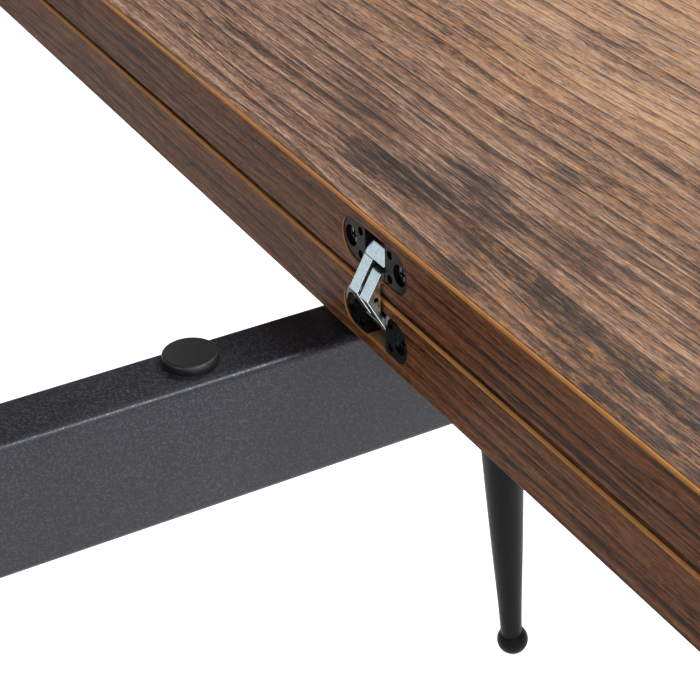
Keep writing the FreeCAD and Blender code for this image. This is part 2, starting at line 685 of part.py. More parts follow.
def board_laminate(bottom, leaf):
    """Decor sheet over one face of a board's core, its underside at the given level."""
    sheet = moved(board_blank(BAND_THICK, LAMINATE_THICK), TOP_CENTRE_X, 0, bottom)
    return sheet if leaf else cut_all(sheet, flange_screws() + [stop_pin()])


def build():
    """All nodes of the table, each as a list of separate solids."""
    nodes = {}
    nodes["rail_near"] = [side_rail(-1)]
    nodes["rail_far"] = [side_rail(1)]
    nodes["end_rail_left"] = [end_rail(-1)]
    nodes["end_rail_right"] = [end_rail(1)]
    nodes["crossbar_left"] = [crossbar(-1)]
    nodes["crossbar_right"] = [crossbar(1)]
    nodes["support_pads"] = support_pads()
    nodes["pivot_plate"] = [pivot_plate()]
    nodes["swivel_slide_disc"] = [slide_disc()]
    places = leg_places()
    nodes["leg_plates"] = [leg_plate(*places[name]) for name in places]
    nodes["leg_studs"] = [leg_stud(*places[name]) for name in places]
    for name, signs in places.items():
        nodes["leg_" + name] = [leg(*signs)]
        nodes["foot_" + name] = [leg_foot(*signs)]

    nodes["lower_core"] = [board_core(LOWER_BOTTOM, False)]
    nodes["lower_edge_band"] = [board_band(LOWER_BOTTOM, False)]
    nodes["lower_under_laminate"] = [board_laminate(LOWER_BOTTOM, False)]
    nodes["lower_decor_laminate"] = [board_laminate(LOWER_TOP - LAMINATE_THICK, True)]
    nodes["swivel_flange"] = [swivel_flange()]
    nodes["swivel_flange_screws"] = flange_screws()
    nodes["swivel_washer"] = [swivel_washer()]
    nodes["swivel_nut"] = [swivel_nut()]
    nodes["swivel_stop_pin"] = [stop_pin()]

    nodes["leaf_core"] = [board_core(LEAF_BOTTOM, True)]
    nodes["leaf_edge_band"] = [board_band(LEAF_BOTTOM, True)]
    nodes["leaf_decor_laminate"] = [board_laminate(LEAF_BOTTOM, True)]
    nodes["leaf_outer_laminate"] = [board_laminate(TABLE_HEIGHT - LAMINATE_THICK, True)]

    screws = [moved(hinge_screw_with_slot(), screw_face(), y, -HINGE_OFF) for y in hinge_screw_places()]
    nodes["lower_hinge_bodies"] = at_hinges(hinge_body())
    nodes["lower_hinge_pins"] = at_hinges(pivot_pin())
    nodes["lower_hinge_screws"] = [place for screw in screws for place in at_hinges(screw)]
    nodes["leaf_hinge_bodies"] = at_hinges(turned_over(hinge_body()))
    nodes["leaf_hinge_pins"] = at_hinges(turned_over(pivot_pin()))
    nodes["leaf_hinge_screws"] = [place for screw in screws for place in at_hinges(turned_over(screw))]
    nodes["lower_hinge_links"] = at_hinges(link())
    nodes["lower_link_pins"] = at_hinges(centre_pin())
    nodes["leaf_hinge_links"] = at_hinges(turned_over(link()))
    nodes["leaf_link_pins"] = at_hinges(turned_over(centre_pin()))
    return nodes


def main():
    """Write one file per node."""
    os.makedirs("parts", exist_ok=True)
    for name, solids in build().items():
        shape = solids[0] if len(solids) == 1 else Part.makeCompound(solids)
        shape.exportStep(os.path.join("parts", name + ".step"))
        count = sum(len(solid.Solids) for solid in solids)
        if count != len(solids) or not shape.isValid():
            print("check", name, "solids", count, "of", len(solids), "valid", shape.isValid())
    print("fold axis x %.3f z %.3f, pivot %.3f %.3f" % (FOLD_X, FOLD_Z, PIVOT_X, PIVOT_Y))
    print("link pivots: in %.3f, off %.3f, hinge y %.3f" % (LINK_PIVOT_IN, LINK_PIVOT_OFF, HINGE_Y))
    print("link ratio %.6f, turn %.3f degrees" % (LINK_RATIO, math.degrees(LINK_TURN)))
    print("foot %.3f %.3f, frame middle %.3f" % (FRAME_X + FOOT_X, FOOT_Y, FRAME_X))


main()
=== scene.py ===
"""Looks of an extending table whose top is two stacked boards on a turning plate.

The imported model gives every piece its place. The turned and rounded pieces are
made here as smooth surfaces, and the flat ones keep their solids. All lengths
are in metres: X runs along the frame, Y along the fold and Z is up.
"""

import logging
import math
from dataclasses import dataclass, replace
from enum import Enum
from functools import partial
from typing import Any

import bmesh
import bpy
import numpy as np
from mathutils import Matrix

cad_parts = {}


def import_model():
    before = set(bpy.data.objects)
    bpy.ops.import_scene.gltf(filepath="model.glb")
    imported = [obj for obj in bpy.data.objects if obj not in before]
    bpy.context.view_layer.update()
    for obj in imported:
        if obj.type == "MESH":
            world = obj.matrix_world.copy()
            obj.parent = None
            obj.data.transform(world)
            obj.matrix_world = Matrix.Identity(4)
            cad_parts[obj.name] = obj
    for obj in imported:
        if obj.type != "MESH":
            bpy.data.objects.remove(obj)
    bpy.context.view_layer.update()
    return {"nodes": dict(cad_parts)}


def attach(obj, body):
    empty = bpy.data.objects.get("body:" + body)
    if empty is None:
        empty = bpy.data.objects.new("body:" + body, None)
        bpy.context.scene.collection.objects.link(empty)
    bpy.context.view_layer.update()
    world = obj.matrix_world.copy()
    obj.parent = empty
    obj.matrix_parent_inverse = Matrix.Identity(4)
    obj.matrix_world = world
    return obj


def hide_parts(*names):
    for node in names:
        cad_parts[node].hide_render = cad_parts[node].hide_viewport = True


LOG = logging.getLogger("table")
MM = 0.001
Rgba = tuple[float, float, float, float]
Triple = tuple[float, float, float]
Spot = tuple[float, float, float, float]
Faces = list[list[int]]
Tree = bpy.types.NodeTree
Node = bpy.types.Node
Thing = bpy.types.Object
WHITE = (1.0, 1.0, 1.0, 1.0)
SMOOTH = {"interpolation_type": "SMOOTHSTEP"}
COLOURS = {"data_type": "RGBA"}

# Driving sizes: the fold lies over the frame's middle
FOLD_X = -0.087325
FRAME_LENGTH = 0.800
FRAME_WIDTH = 0.510


class Side(Enum):
    """The two sides of the frame or the two ends of a rail."""

    MINUS = -1
    PLUS = 1


class Board(Enum):
    """The two boards of the top."""

    LOWER = "lower"
    LEAF = "leaf"


# Colours and nodes


def colour(code: str) -> Rgba:
    """Turn an sRGB hex colour into linear light.

    Args:
        code: six hex digits, with or without a leading hash.

    Returns:
        Red, green, blue and alpha, each from 0 to 1.
    """
    digits = code.lstrip("#")
    parts = np.array([int(digits[i:i + 2], 16) for i in (0, 2, 4)]) / 255.0
    linear = np.where(parts <= 0.04045, parts / 12.92, ((parts + 0.055) / 1.055) ** 2.4)
    return (*linear.tolist(), 1.0)


def out(value: Any) -> Any:
    """Find what a link comes from.

    Args:
        value: a node, an output socket or a plain value.

    Returns:
        The first output that a node shows; anything else as it is.
    """
    if isinstance(value, Node):
        return next(socket for socket in value.outputs if socket.enabled)
    return value


def add_node(tree: Tree, kind: str, settings: str | dict[str, Any] = "", *values: Any, **inputs: Any) -> Node:
    """Add a node to a tree, with its settings and links.

    Args:
        tree: the node tree.
        kind: the node's type name, without its ShaderNode prefix.
        settings: properties of the node itself, or only its operation.
        *values: what goes into the inputs that the node shows, in order: a
            value, an output socket, or a node for its first output.
        **inputs: the same for inputs by name; underscores stand for spaces.

    Returns:
        The new node.
    """
    node = tree.nodes.new("ShaderNode" + kind)
    if isinstance(settings, str):
        settings = {"operation": settings} if settings else {}
    for name, value in settings.items():
        setattr(node, name, value)
    shown = [socket for socket in node.inputs if socket.enabled]
    named = [(node.inputs[name.replace("_", " ")], value) for name, value in inputs.items()]
    for socket, value in [*zip(shown, values), *named]:
        value = out(value)
        if isinstance(value, bpy.types.NodeSocket):
            tree.links.new(value, socket)
        else:
            socket.default_value = value
    return node


def weighted(tree: Tree, start: Any, *terms: tuple[Any, float]) -> Any:
    """Add up values, each times its weight.

    Args:
        tree: the node tree.
        start: what the sum starts from.
        *terms: each value with its weight.

    Returns:
        The sum.
    """
    for value, weight in terms:
        start = add_node(tree, "Math", "MULTIPLY_ADD", value, weight, start)
    return start


def set_ramp(node: Node, *stops: tuple[float, str]) -> None:
    """Give a colour ramp its stops.

    Args:
        node: the colour ramp.
        *stops: places from 0 to 1 with their colours in hex digits, in order.
    """
    elements = node.color_ramp.elements
    while len(elements) < len(stops):
        elements.new(0.5)
    for element, (place, code) in zip(elements, stops):
        element.position = place
        element.color = colour(code)


def clear_tree(owner: bpy.types.Material | bpy.types.World) -> Tree:
    """Switch on the nodes of a material or a world and empty its node tree.

    Args:
        owner: the material or world.

    Returns:
        The empty tree.
    """
    owner.use_nodes = True
    owner.node_tree.nodes.clear()
    return owner.node_tree


def put(name: str, data: Any) -> Thing:
    """Put a mesh, lamp or camera into the scene.

    Args:
        name: the object's name.
        data: its mesh, lamp or camera.

    Returns:
        The object, at the origin and unturned.
    """
    thing = bpy.data.objects.new(name, data)
    bpy.context.scene.collection.objects.link(thing)
    return thing


# Surfaces


def piece(name: str, points: np.ndarray, faces: Faces, smooth: float | None = 30.0,
          outward: bool = True) -> Thing:
    """Make a mesh object from whole arrays and close its seams and poles.

    Args:
        name: the object's name.
        points: corner places, one row each, in metres.
        faces: corner numbers for each face.
        smooth: angle in degrees below which faces shade as one, or None for flat.
        outward: whether to turn all the faces outwards.

    Returns:
        The object, at the origin and unturned.
    """
    mesh = bpy.data.meshes.new(name)
    mesh.from_pydata(points.tolist(), [], faces)
    form = bmesh.new()
    form.from_mesh(mesh)
    bmesh.ops.remove_doubles(form, verts=form.verts, dist=0.005 * MM)
    bmesh.ops.dissolve_degenerate(form, edges=form.edges, dist=0.004 * MM)
    if outward:
        bmesh.ops.recalc_face_normals(form, faces=form.faces)
    form.to_mesh(mesh)
    form.free()
    thing = put(name, mesh)
    if smooth is not None:
        shade(thing, smooth)
    return thing


def shade(thing: Thing, angle: float) -> None:
    """Shade faces as one where they meet at less than an angle.

    Args:
        thing: the mesh object.
        angle: the limit in degrees.
    """
    form = bmesh.new()
    form.from_mesh(thing.data)
    limit = math.radians(angle)
    for face in form.faces:
        face.smooth = True
    for edge in form.edges:
        edge.smooth = len(edge.link_faces) == 2 and edge.calc_face_angle(0.0) < limit
    form.to_mesh(thing.data)
    form.free()


def grid_faces(rows: int, columns: int, first: int = 0) -> np.ndarray:
    """Corner numbers of the faces of a grid whose columns close on themselves.

    Args:
        rows: rows of points.
        columns: points in each row.
        first: number of the grid's first point.

    Returns:
        Four corner numbers for each face.
    """
    r = np.arange(rows - 1)[:, None]
    c = np.arange(columns)[None, :]
    n = (c + 1) % columns
    corners = [r * columns + c, r * columns + n, (r + 1) * columns + n, (r + 1) * columns + c]
    return np.stack([a.ravel() for a in corners], axis=1) + first


def closed_grid(grids: list[np.ndarray]) -> tuple[np.ndarray, Faces]:
    """Join grids of points into one list of points and one of faces.

    Each grid has rows of points that close on themselves. Its first and last
    rows shrink to their middle, so that both ends are closed by a pole.

    Args:
        grids: arrays of rows by columns by three.

    Returns:
        The points and the faces.
    """
    points, faces, first = [], [], 0
    for grid in grids:
        ends = [np.broadcast_to(grid[k].mean(axis=0), grid[k].shape)[None] for k in (0, -1)]
        full = np.concatenate([ends[0], grid, ends[1]])
        points.append(full.reshape(-1, 3))
        faces.append(grid_faces(full.shape[0], full.shape[1], first))
        first += full.shape[0] * full.shape[1]
    return np.concatenate(points), np.concatenate(faces).tolist()


def thickened(outlines: list[tuple[np.ndarray, np.ndarray]]) -> tuple[np.ndarray, Faces]:
    """Straight blocks, each between two outlines with the same number of corners.

    The corners of the first outline are joined to those of the second by
    four-sided faces, and each outline is one flat face that closes its end.

    Args:
        outlines: for each block, its two outlines of corners by three.

    Returns:
        The points and the faces.
    """
    points, faces, first = [], [], 0
    for near, far in outlines:
        count = len(near)
        points += [near, far]
        faces += grid_faces(2, count, first).tolist()
        faces += [list(range(first, first + count)), list(range(first + count, first + 2 * count))[::-1]]
        first += 2 * count
    return np.concatenate(points), faces


def turned(radii: np.ndarray, heights: np.ndarray, count: int = 64) -> np.ndarray:
    """Surface of a turned piece about the Z axis.

    A point of the outline at radius r and height h goes round in a circle:
    x is r times the cosine of the angle, y is r times its sine, z is h.

    Args:
        radii: radius of each point of the outline.
        heights: height of each point of the outline.
        count: points round the circle.

    Returns:
        A grid of points, one row for each point of the outline.
    """
    angle = np.linspace(0.0, 2.0 * np.pi, count, endpoint=False)
    grid = np.empty((len(radii), count, 3))
    grid[..., 0] = radii[:, None] * np.cos(angle)
    grid[..., 1] = radii[:, None] * np.sin(angle)
    grid[..., 2] = np.asarray(heights)[:, None]
    return grid


def arc(centre: tuple[float, float], radius: float, start: float, end: float, count: int = 8) -> np.ndarray:
    """Points on a circle's arc, from one angle in degrees to another.

    Args:
        centre: the circle's centre.
        radius: its radius.
        start: first angle.
        end: last angle.
        count: number of points.

    Returns:
        One row for each point: centre plus radius times cosine and sine.
    """
    angle = np.radians(np.linspace(start, end, count))
    return np.stack([centre[0] + radius * np.cos(angle), centre[1] + radius * np.sin(angle)], axis=1)


def rounded_outline(width: float, height: float, corner: float, steps: int = 7) -> np.ndarray:
    """Rectangle with round corners, about the origin.

    Args:
        width: full width.
        height: full height.
        corner: corner radius.
        steps: points on each corner.

    Returns:
        One row for each point, going round anticlockwise.
    """
    x, y = width / 2 - corner, height / 2 - corner
    corners = [((x, y), 0.0), ((-x, y), 90.0), ((-x, -y), 180.0), ((x, -y), 270.0)]
    return np.concatenate([arc(middle, corner, turn, turn + 90.0, steps) for middle, turn in corners])


def edged_plate(outline: np.ndarray, thick: float, edge: float, steps: int = 4) -> np.ndarray:
    """Flat plate with softened edges over a convex outline.

    The outline is drawn at several levels. At each level it is set in towards
    its middle by the edge radius less that radius times the cosine of the
    level's angle, so the rim is a quarter circle at the top and the bottom.

    Args:
        outline: points of the outline about the origin.
        thick: the plate's thickness, standing on z = 0.
        edge: radius of the softened edge.
        steps: levels in each quarter circle.

    Returns:
        A grid of points, one row for each level.
    """
    turn = np.linspace(-np.pi / 2, 0.0, steps)
    inset = edge * (1.0 - np.cos(turn))
    low = edge * (1.0 + np.sin(turn))
    insets = np.concatenate([inset, inset[::-1]])
    levels = np.concatenate([low, thick - low[::-1]])
    ahead = np.roll(outline, -1, axis=0) - np.roll(outline, 1, axis=0)
    length = np.maximum(np.linalg.norm(ahead, axis=1, keepdims=True), 1e-9)
    outwards = np.stack([ahead[:, 1], -ahead[:, 0]], axis=1) / length
    grid = np.empty((len(levels), len(outline), 3))
    grid[..., :2] = outline[None] - outwards[None] * insets[:, None, None]
    grid[..., 2] = levels[:, None]
    return grid


def smooth_through(xs: np.ndarray, ys: np.ndarray, places: np.ndarray) -> np.ndarray:
    """Heights of the smooth curve through given points.

    Between two points the curve is a cubic. Its bends at the points are found
    from the rule that slope and bend carry on through every point and that the
    bend is nothing at both ends.

    Args:
        xs: places of the points, rising.
        ys: heights of the points.
        places: where the curve is wanted.

    Returns:
        The curve's height at each place.
    """
    step = np.diff(xs)
    count = len(xs)
    system = np.eye(count)
    right = np.zeros(count)
    inner = np.arange(1, count - 1)
    system[inner, inner - 1] = step[:-1]
    system[inner, inner] = 2 * (step[:-1] + step[1:])
    system[inner, inner + 1] = step[1:]
    right[inner] = 6 * (np.diff(ys)[1:] / step[1:] - np.diff(ys)[:-1] / step[:-1])
    bend = np.linalg.solve(system, right)
    k = np.clip(np.searchsorted(xs, places) - 1, 0, count - 2)
    t, u, h = places - xs[k], xs[k + 1] - places, step[k]
    cubic = (bend[k] * u ** 3 + bend[k + 1] * t ** 3) / (6 * h)
    return cubic + (ys[k] / h - bend[k] * h / 6) * u + (ys[k + 1] / h - bend[k + 1] * h / 6) * t


def carried(outline: np.ndarray, starts: np.ndarray, ends: np.ndarray) -> np.ndarray:
    """Outline in the YZ plane carried straight along X.

    Args:
        outline: the outline's points, Y and Z.
        starts: where each point's line begins along X.
        ends: where each point's line ends along X.

    Returns:
        A grid of two rows of points.
    """
    grid = np.empty((2, len(outline), 3))
    grid[0, :, 0], grid[1, :, 0] = starts, ends
    grid[:, :, 1:] = outline
    return grid


def tilted(grid: np.ndarray, foot: np.ndarray, direction: np.ndarray) -> np.ndarray:
    """Grid about the Z axis leant over so that the axis points another way.

    Args:
        grid: points about the Z axis.
        foot: where the origin goes.
        direction: where the Z axis points.

    Returns:
        The grid in its place.
    """
    up = direction / np.linalg.norm(direction)
    across = np.cross((0.0, 1.0, 0.0), up)
    across /= np.linalg.norm(across)
    along = np.cross(up, across)
    return grid @ np.stack([across, along, up]) + foot


def solid_copy(name: str, node: Thing, edge: float, angle: float = 35.0) -> Thing:
    """Copy of a solid with its corners merged and its edges softened.

    Args:
        name: the copy's name.
        node: the solid's object, which stays as it is.
        edge: width of the softened edge.
        angle: edges sharper than this many degrees are softened.

    Returns:
        The copy.
    """
    mesh = node.data.copy()
    mesh.name = name
    form = bmesh.new()
    form.from_mesh(mesh)
    bmesh.ops.remove_doubles(form, verts=form.verts, dist=0.002 * MM)
    bmesh.ops.dissolve_limit(form, angle_limit=math.radians(0.5), verts=form.verts, edges=form.edges)
    form.to_mesh(mesh)
    form.free()
    mesh.materials.clear()
    thing = put(name, mesh)
    shade(thing, angle)
    soften(thing, edge, angle)
    return thing


def soften(thing: Thing, edge: float, angle: float = 35.0) -> None:
    """Round the sharp edges of a piece.

    Args:
        thing: the mesh object.
        edge: width of the rounding.
        angle: edges sharper than this many degrees are rounded.
    """
    bevel = thing.modifiers.new("soft edges", "BEVEL")
    bevel.width = edge
    bevel.segments = 2
    bevel.limit_method = "ANGLE"
    bevel.angle_limit = math.radians(angle)
    bevel.harden_normals = True


# Finishes


@dataclass(frozen=True)
class Finish:
    """One finish: its name, its slot in the record and the values that are the same all over."""

    name: str
    slot: str
    rough: float = 0.5
    metal: float = 0.0
    gloss: float = 0.5
    tint: str = "#ffffff"

    def paint(self, tree: Tree, at: Any) -> dict[str, Any]:
        """Add the pattern; each finish has its own.

        Args:
            tree: the node tree; not used here.
            at: the place on the piece, in metres; not used here.

        Returns:
            What goes into the surface shader, by the names of its inputs.
        """
        return {}

    def material(self) -> bpy.types.Material:
        """Make the material the first time it is asked for.

        Returns:
            The material.
        """
        known = bpy.data.materials.get(self.name)
        if known is None:
            known = bpy.data.materials.new(self.name)
            tree = clear_tree(known)
            surface = add_node(tree, "BsdfPrincipled", Roughness=self.rough, Metallic=self.metal,
                               Specular_IOR_Level=self.gloss, Specular_Tint=colour(self.tint))
            add_node(tree, "OutputMaterial", Surface=surface)
            pattern = self.paint(tree, add_node(tree, "TexCoord").outputs["Object"])
            for name, value in pattern.items():
                tree.links.new(out(value), surface.inputs[name])
        return known

    def noise(self, tree: Tree, at: Any, size_mm: Triple, detail: float = 2.0, rough: float = 0.5,
              ends: tuple[float, float] | None = None) -> Node:
        """Noise whose blotches have a real size.

        Args:
            tree: the node tree.
            at: the place, in metres.
            size_mm: size of a blotch along X, Y and Z, in millimetres.
            detail: layers of finer noise.
            rough: strength of the finer layers.
            ends: noise values that are stretched to 0 and 1, clipped beyond.

        Returns:
            The noise, or the stretched noise.
        """
        scale = tuple(1.0 / (value * MM) for value in size_mm)
        grid = add_node(tree, "VectorMath", "MULTIPLY", at, scale)
        made = add_node(tree, "TexNoise", Vector=grid, Scale=1.0, Detail=detail, Roughness=rough)
        return add_node(tree, "MapRange", "", made, *ends) if ends else made


@dataclass(frozen=True)
class OakPrint(Finish):
    """Printed melamine paper of rustic smoked oak, pressed with a grain texture.

    The eye sees fine brown and grey streaks along the grain, tan flecks, slate
    patches where the print darkens, and thin open cracks; the press leaves the
    pores a little lower and duller than the wood between them.
    """

    dark: str = "#3e281d"
    brown: str = "#7a5642"
    grey: str = "#9b7862"
    pale: str = "#cda88a"
    tan: str = "#bf8449"
    slate: str = "#646a78"
    crack: str = "#1e140f"
    fibre_mm: float = 0.5
    ring_mm: float = 6.4
    line_depth: float = 0.9
    relief_mm: float = 0.16
    relief: float = 0.6
    rough_swing: float = 0.07
    figure_slant: float = -17.0
    tan_reach: float = 0.7
    slate_reach: float = 1.0
    slate_spots: tuple[Spot, ...] = ()
    painted_light_spots: tuple[Spot, ...] = ()
    painted_shade_spots: tuple[Spot, ...] = ()
    figure_spots: tuple[Spot, ...] = ()
    split_lines: tuple[Spot, ...] = ()
    shift_mm: Triple = (0.0, 0.0, 0.0)

    def ovals(self, tree: Tree, at: Any, places: tuple[Spot, ...], axes: tuple[int, int] = (0, 1),
              full: float = 0.1, strength: float = 1.0, join: str = "ADD") -> Any:
        """Soft ovals, each strongest in its middle and nothing at its rim.

        Args:
            tree: the node tree.
            at: the place, in metres.
            places: middle and two half widths of each oval, in millimetres.
            axes: the two axes that these are along, 0 for X to 2 for Z.
            full: share of the half width inside which the strength is whole.
            strength: the strength in the middle.
            join: how ovals that overlap are put together.

        Returns:
            All ovals together, or 0 where there are none.
        """
        total: Any = 0.0
        for spot in places:
            middle, scale = np.zeros((2, 3))
            middle[list(axes)] = np.array(spot[:2]) * MM
            scale[list(axes)] = 1.0 / (np.array(spot[2:]) * MM)
            moved = add_node(tree, "VectorMath", "SUBTRACT", at, middle.tolist())
            scaled = add_node(tree, "VectorMath", "MULTIPLY", moved, scale.tolist())
            far = add_node(tree, "VectorMath", "LENGTH", scaled)
            near = add_node(tree, "MapRange", SMOOTH, far, 1.0, full, 0.0, strength)
            total = add_node(tree, "Math", join, near, total)
        return total

    def rings(self, tree: Tree, flow: Any) -> tuple[Node, Node]:
        """Yearly rings cut lengthwise: each darkens across its width and ends at a sharp line.

        The ring number is the place across the grain over the ring's width,
        plus a slow noise that makes some rings narrow and some wide; what is
        left of it after the whole number runs from 0 to 1 over each ring.

        Args:
            tree: the node tree.
            flow: the place along the grain, in metres.

        Returns:
            The darkening from 0 to 1, and 1 on the line that ends a ring.
        """
        add = partial(add_node, tree)
        x, _, z = add("SeparateXYZ", "", flow).outputs
        wobble = self.noise(tree, flow, (24.0, 300.0, 24.0), 2.0, 0.45)
        phase = weighted(tree, 0.0, (wobble, 3.0), (add("Math", "ADD", x, z), 1.0 / (self.ring_mm * MM)))
        ring = add("Math", "FRACT", phase)
        strong = self.noise(tree, flow, (8.0, 150.0, 8.0), 3.0, 0.6, (0.34, 0.62))
        late = add("Math", "MULTIPLY", add("Math", "POWER", ring, 1.7), strong)
        return late, add("MapRange", "", ring, 0.88, 0.93)

    def grain_place(self, tree: Tree, at: Any) -> Any:
        """Place on the printed sheet, with the grain along Y; each board has its own cut of it."""
        return add_node(tree, "VectorMath", "ADD", at, tuple(length * MM for length in self.shift_mm))

    def pattern(self, tree: Tree, at: Any) -> tuple[Node, Node, Node]:
        """Build the printed grain.

        Args:
            tree: the node tree.
            at: the place on the piece, in metres.

        Returns:
            The colour, the height and the roughness.
        """
        add, noise = partial(add_node, tree), partial(self.noise, tree)
        at = self.grain_place(tree, at)
        sway = noise(at, (70.0, 260.0, 70.0)).outputs["Color"]
        flow = add("VectorMath", "MULTIPLY_ADD", sway, (0.010, 0.0, 0.010), at)
        # Fibres half a millimetre wide, short marks between them, and strands a decimetre long
        fibre = noise(flow, (self.fibre_mm, 15.0, self.fibre_mm), 3.0, 0.7, (0.38, 0.62))
        grain = noise(flow, (0.6, 3.2, 0.6), 2.0, 0.7, (0.34, 0.66))
        strand = noise(flow, (1.1, 95.0, 1.1), 3.0, 0.7, (0.38, 0.62))
        late, edge = self.rings(tree, flow)
        # Blotches of printed ink, about two millimetres wide and nine long: tan, slate and dark
        ink = add("SeparateColor", "", noise(flow, (1.6, 9.0, 1.6), 4.0, 0.75).outputs["Color"])
        ends = ((0.42, 0.66), (0.44, 0.70), (0.36, 0.62))
        fleck, chill, soot = (add("MapRange", "", level, *pair) for level, pair in zip(ink.outputs, ends))
        tone = noise(at, (60.0, 140.0, 60.0))
        # Wide patches with ragged rims, longer along the grain: painted light that brightens and warms the
        # print, and painted shade that darkens it
        ragged = noise(at, (40.0, 170.0, 40.0), 3.0, 0.6).outputs["Color"]
        ragged = add("VectorMath", "SUBTRACT", ragged, (0.5, 0.5, 0.5))
        roam = add("VectorMath", "MULTIPLY_ADD", ragged, (0.20, 0.60, 0.0), at)
        painted_light = self.ovals(tree, roam, self.painted_light_spots)
        painted_shade = self.ovals(tree, roam, self.painted_shade_spots)
        cool = self.ovals(tree, at, self.slate_spots)

        # Painted light lifts the print and painted shade lowers it
        mixed = weighted(tree, 0.105, (fibre, 0.28), (grain, 0.22), (strand, 0.26), (soot, 0.10),
                         (late, -0.56), (painted_light, 0.27), (painted_shade, -0.28))
        ground = add("ValToRGB", "", mixed)
        set_ramp(ground, (0.10, self.dark), (0.38, self.brown), (0.56, self.grey), (0.84, self.pale))
        # Painted light also warms the print towards tan
        warmth = weighted(tree, -0.50, (tone, 1.0), (painted_light, 0.28), (fleck, 0.75))
        warmth = add("MapRange", SMOOTH, warmth, 0.18, 0.95, 0.0, self.tan_reach)
        body = add("Mix", COLOURS, warmth, ground, colour(self.tan))
        # The thin dark line that ends a ring, broken where the ink is thin
        line = add("Math", "MULTIPLY", add("Math", "MULTIPLY", edge, soot), self.line_depth)
        body = add("Mix", COLOURS, line, body, colour(self.dark))

        # Cathedral figure: dark streaks that cross the grain at a slant, about four millimetres wide
        slant = add("VectorRotate", {"rotation_type": "Z_AXIS"}, Vector=flow,
                    Angle=math.radians(self.figure_slant))
        figure = noise(slant, (4.5, 60.0, 40.0), 2.0, 0.5, (0.46, 0.66))
        figure = add("Math", "MULTIPLY", figure, self.ovals(tree, at, self.figure_spots))
        # Slate patches, a few centimetres long, broken up by the blotches, the fibres and the strands
        patch = noise(flow, (16.0, 45.0, 16.0), 3.0, 0.6)
        patch = weighted(tree, patch, (fleck, -0.35), (chill, 0.40), (fibre, -0.22), (cool, 0.60))
        patch = add("MapRange", SMOOTH, patch, 0.40, 0.92, 0.0, self.slate_reach)
        veiled = add("MapRange", "", strand, 0.0, 1.0, 1.0, 0.45)
        patch = weighted(tree, add("Math", "MULTIPLY", patch, veiled), (figure, 0.55))
        stained = add("Mix", COLOURS | {"blend_type": "MULTIPLY"}, patch, body, colour(self.slate))

        # Open cracks where a slow noise passes its middle value, a few tenths of a millimetre wide
        vein = noise(flow, (10.0, 230.0, 10.0), 3.0, 0.6)
        off = add("Math", "ABSOLUTE", add("Math", "SUBTRACT", vein, 0.5))
        thin = add("MapRange", "", off, 0.004, 0.016, 1.0, 0.0)
        where = add("MapRange", "", noise(at, (16.0, 60.0, 16.0)), 0.53, 0.66, 0.0, 0.85)
        # Pores: short dark dashes, drawn a little coarser to show
        pore = noise(flow, (0.7, 7.0, 0.7), 2.0, 0.5, (0.56, 0.70))
        crack = add("Math", "MULTIPLY", thin, where)
        deep = add("Math", "MAXIMUM", crack, add("Math", "MULTIPLY", pore, 0.6))
        # Long splits at chosen places, thin ovals along the grain
        splits = self.ovals(tree, flow, self.split_lines, (1, 2), 0.3, 0.85, "MAXIMUM")
        deep = add("Math", "MAXIMUM", deep, splits)
        final = add("Mix", COLOURS, deep, stained, colour(self.crack))
        dull, bright = self.rough + self.rough_swing, self.rough - self.rough_swing
        rough = add("MapRange", "", fibre, 0.0, 1.0, dull, bright)
        return final, add("Math", "SUBTRACT", fibre, deep), rough

    def paint(self, tree: Tree, at: Any) -> dict[str, Any]:
        """Lay the print over the surface.

        Args:
            tree: the node tree.
            at: the place on the piece, in metres.

        Returns:
            What goes into the surface shader, by the names of its inputs.
        """
        made, height, rough = self.pattern(tree, at)
        bump = add_node(tree, "Bump", Height=height, Strength=self.relief, Distance=self.relief_mm * MM)
        return {"Base Color": made, "Roughness": rough, "Normal": bump}


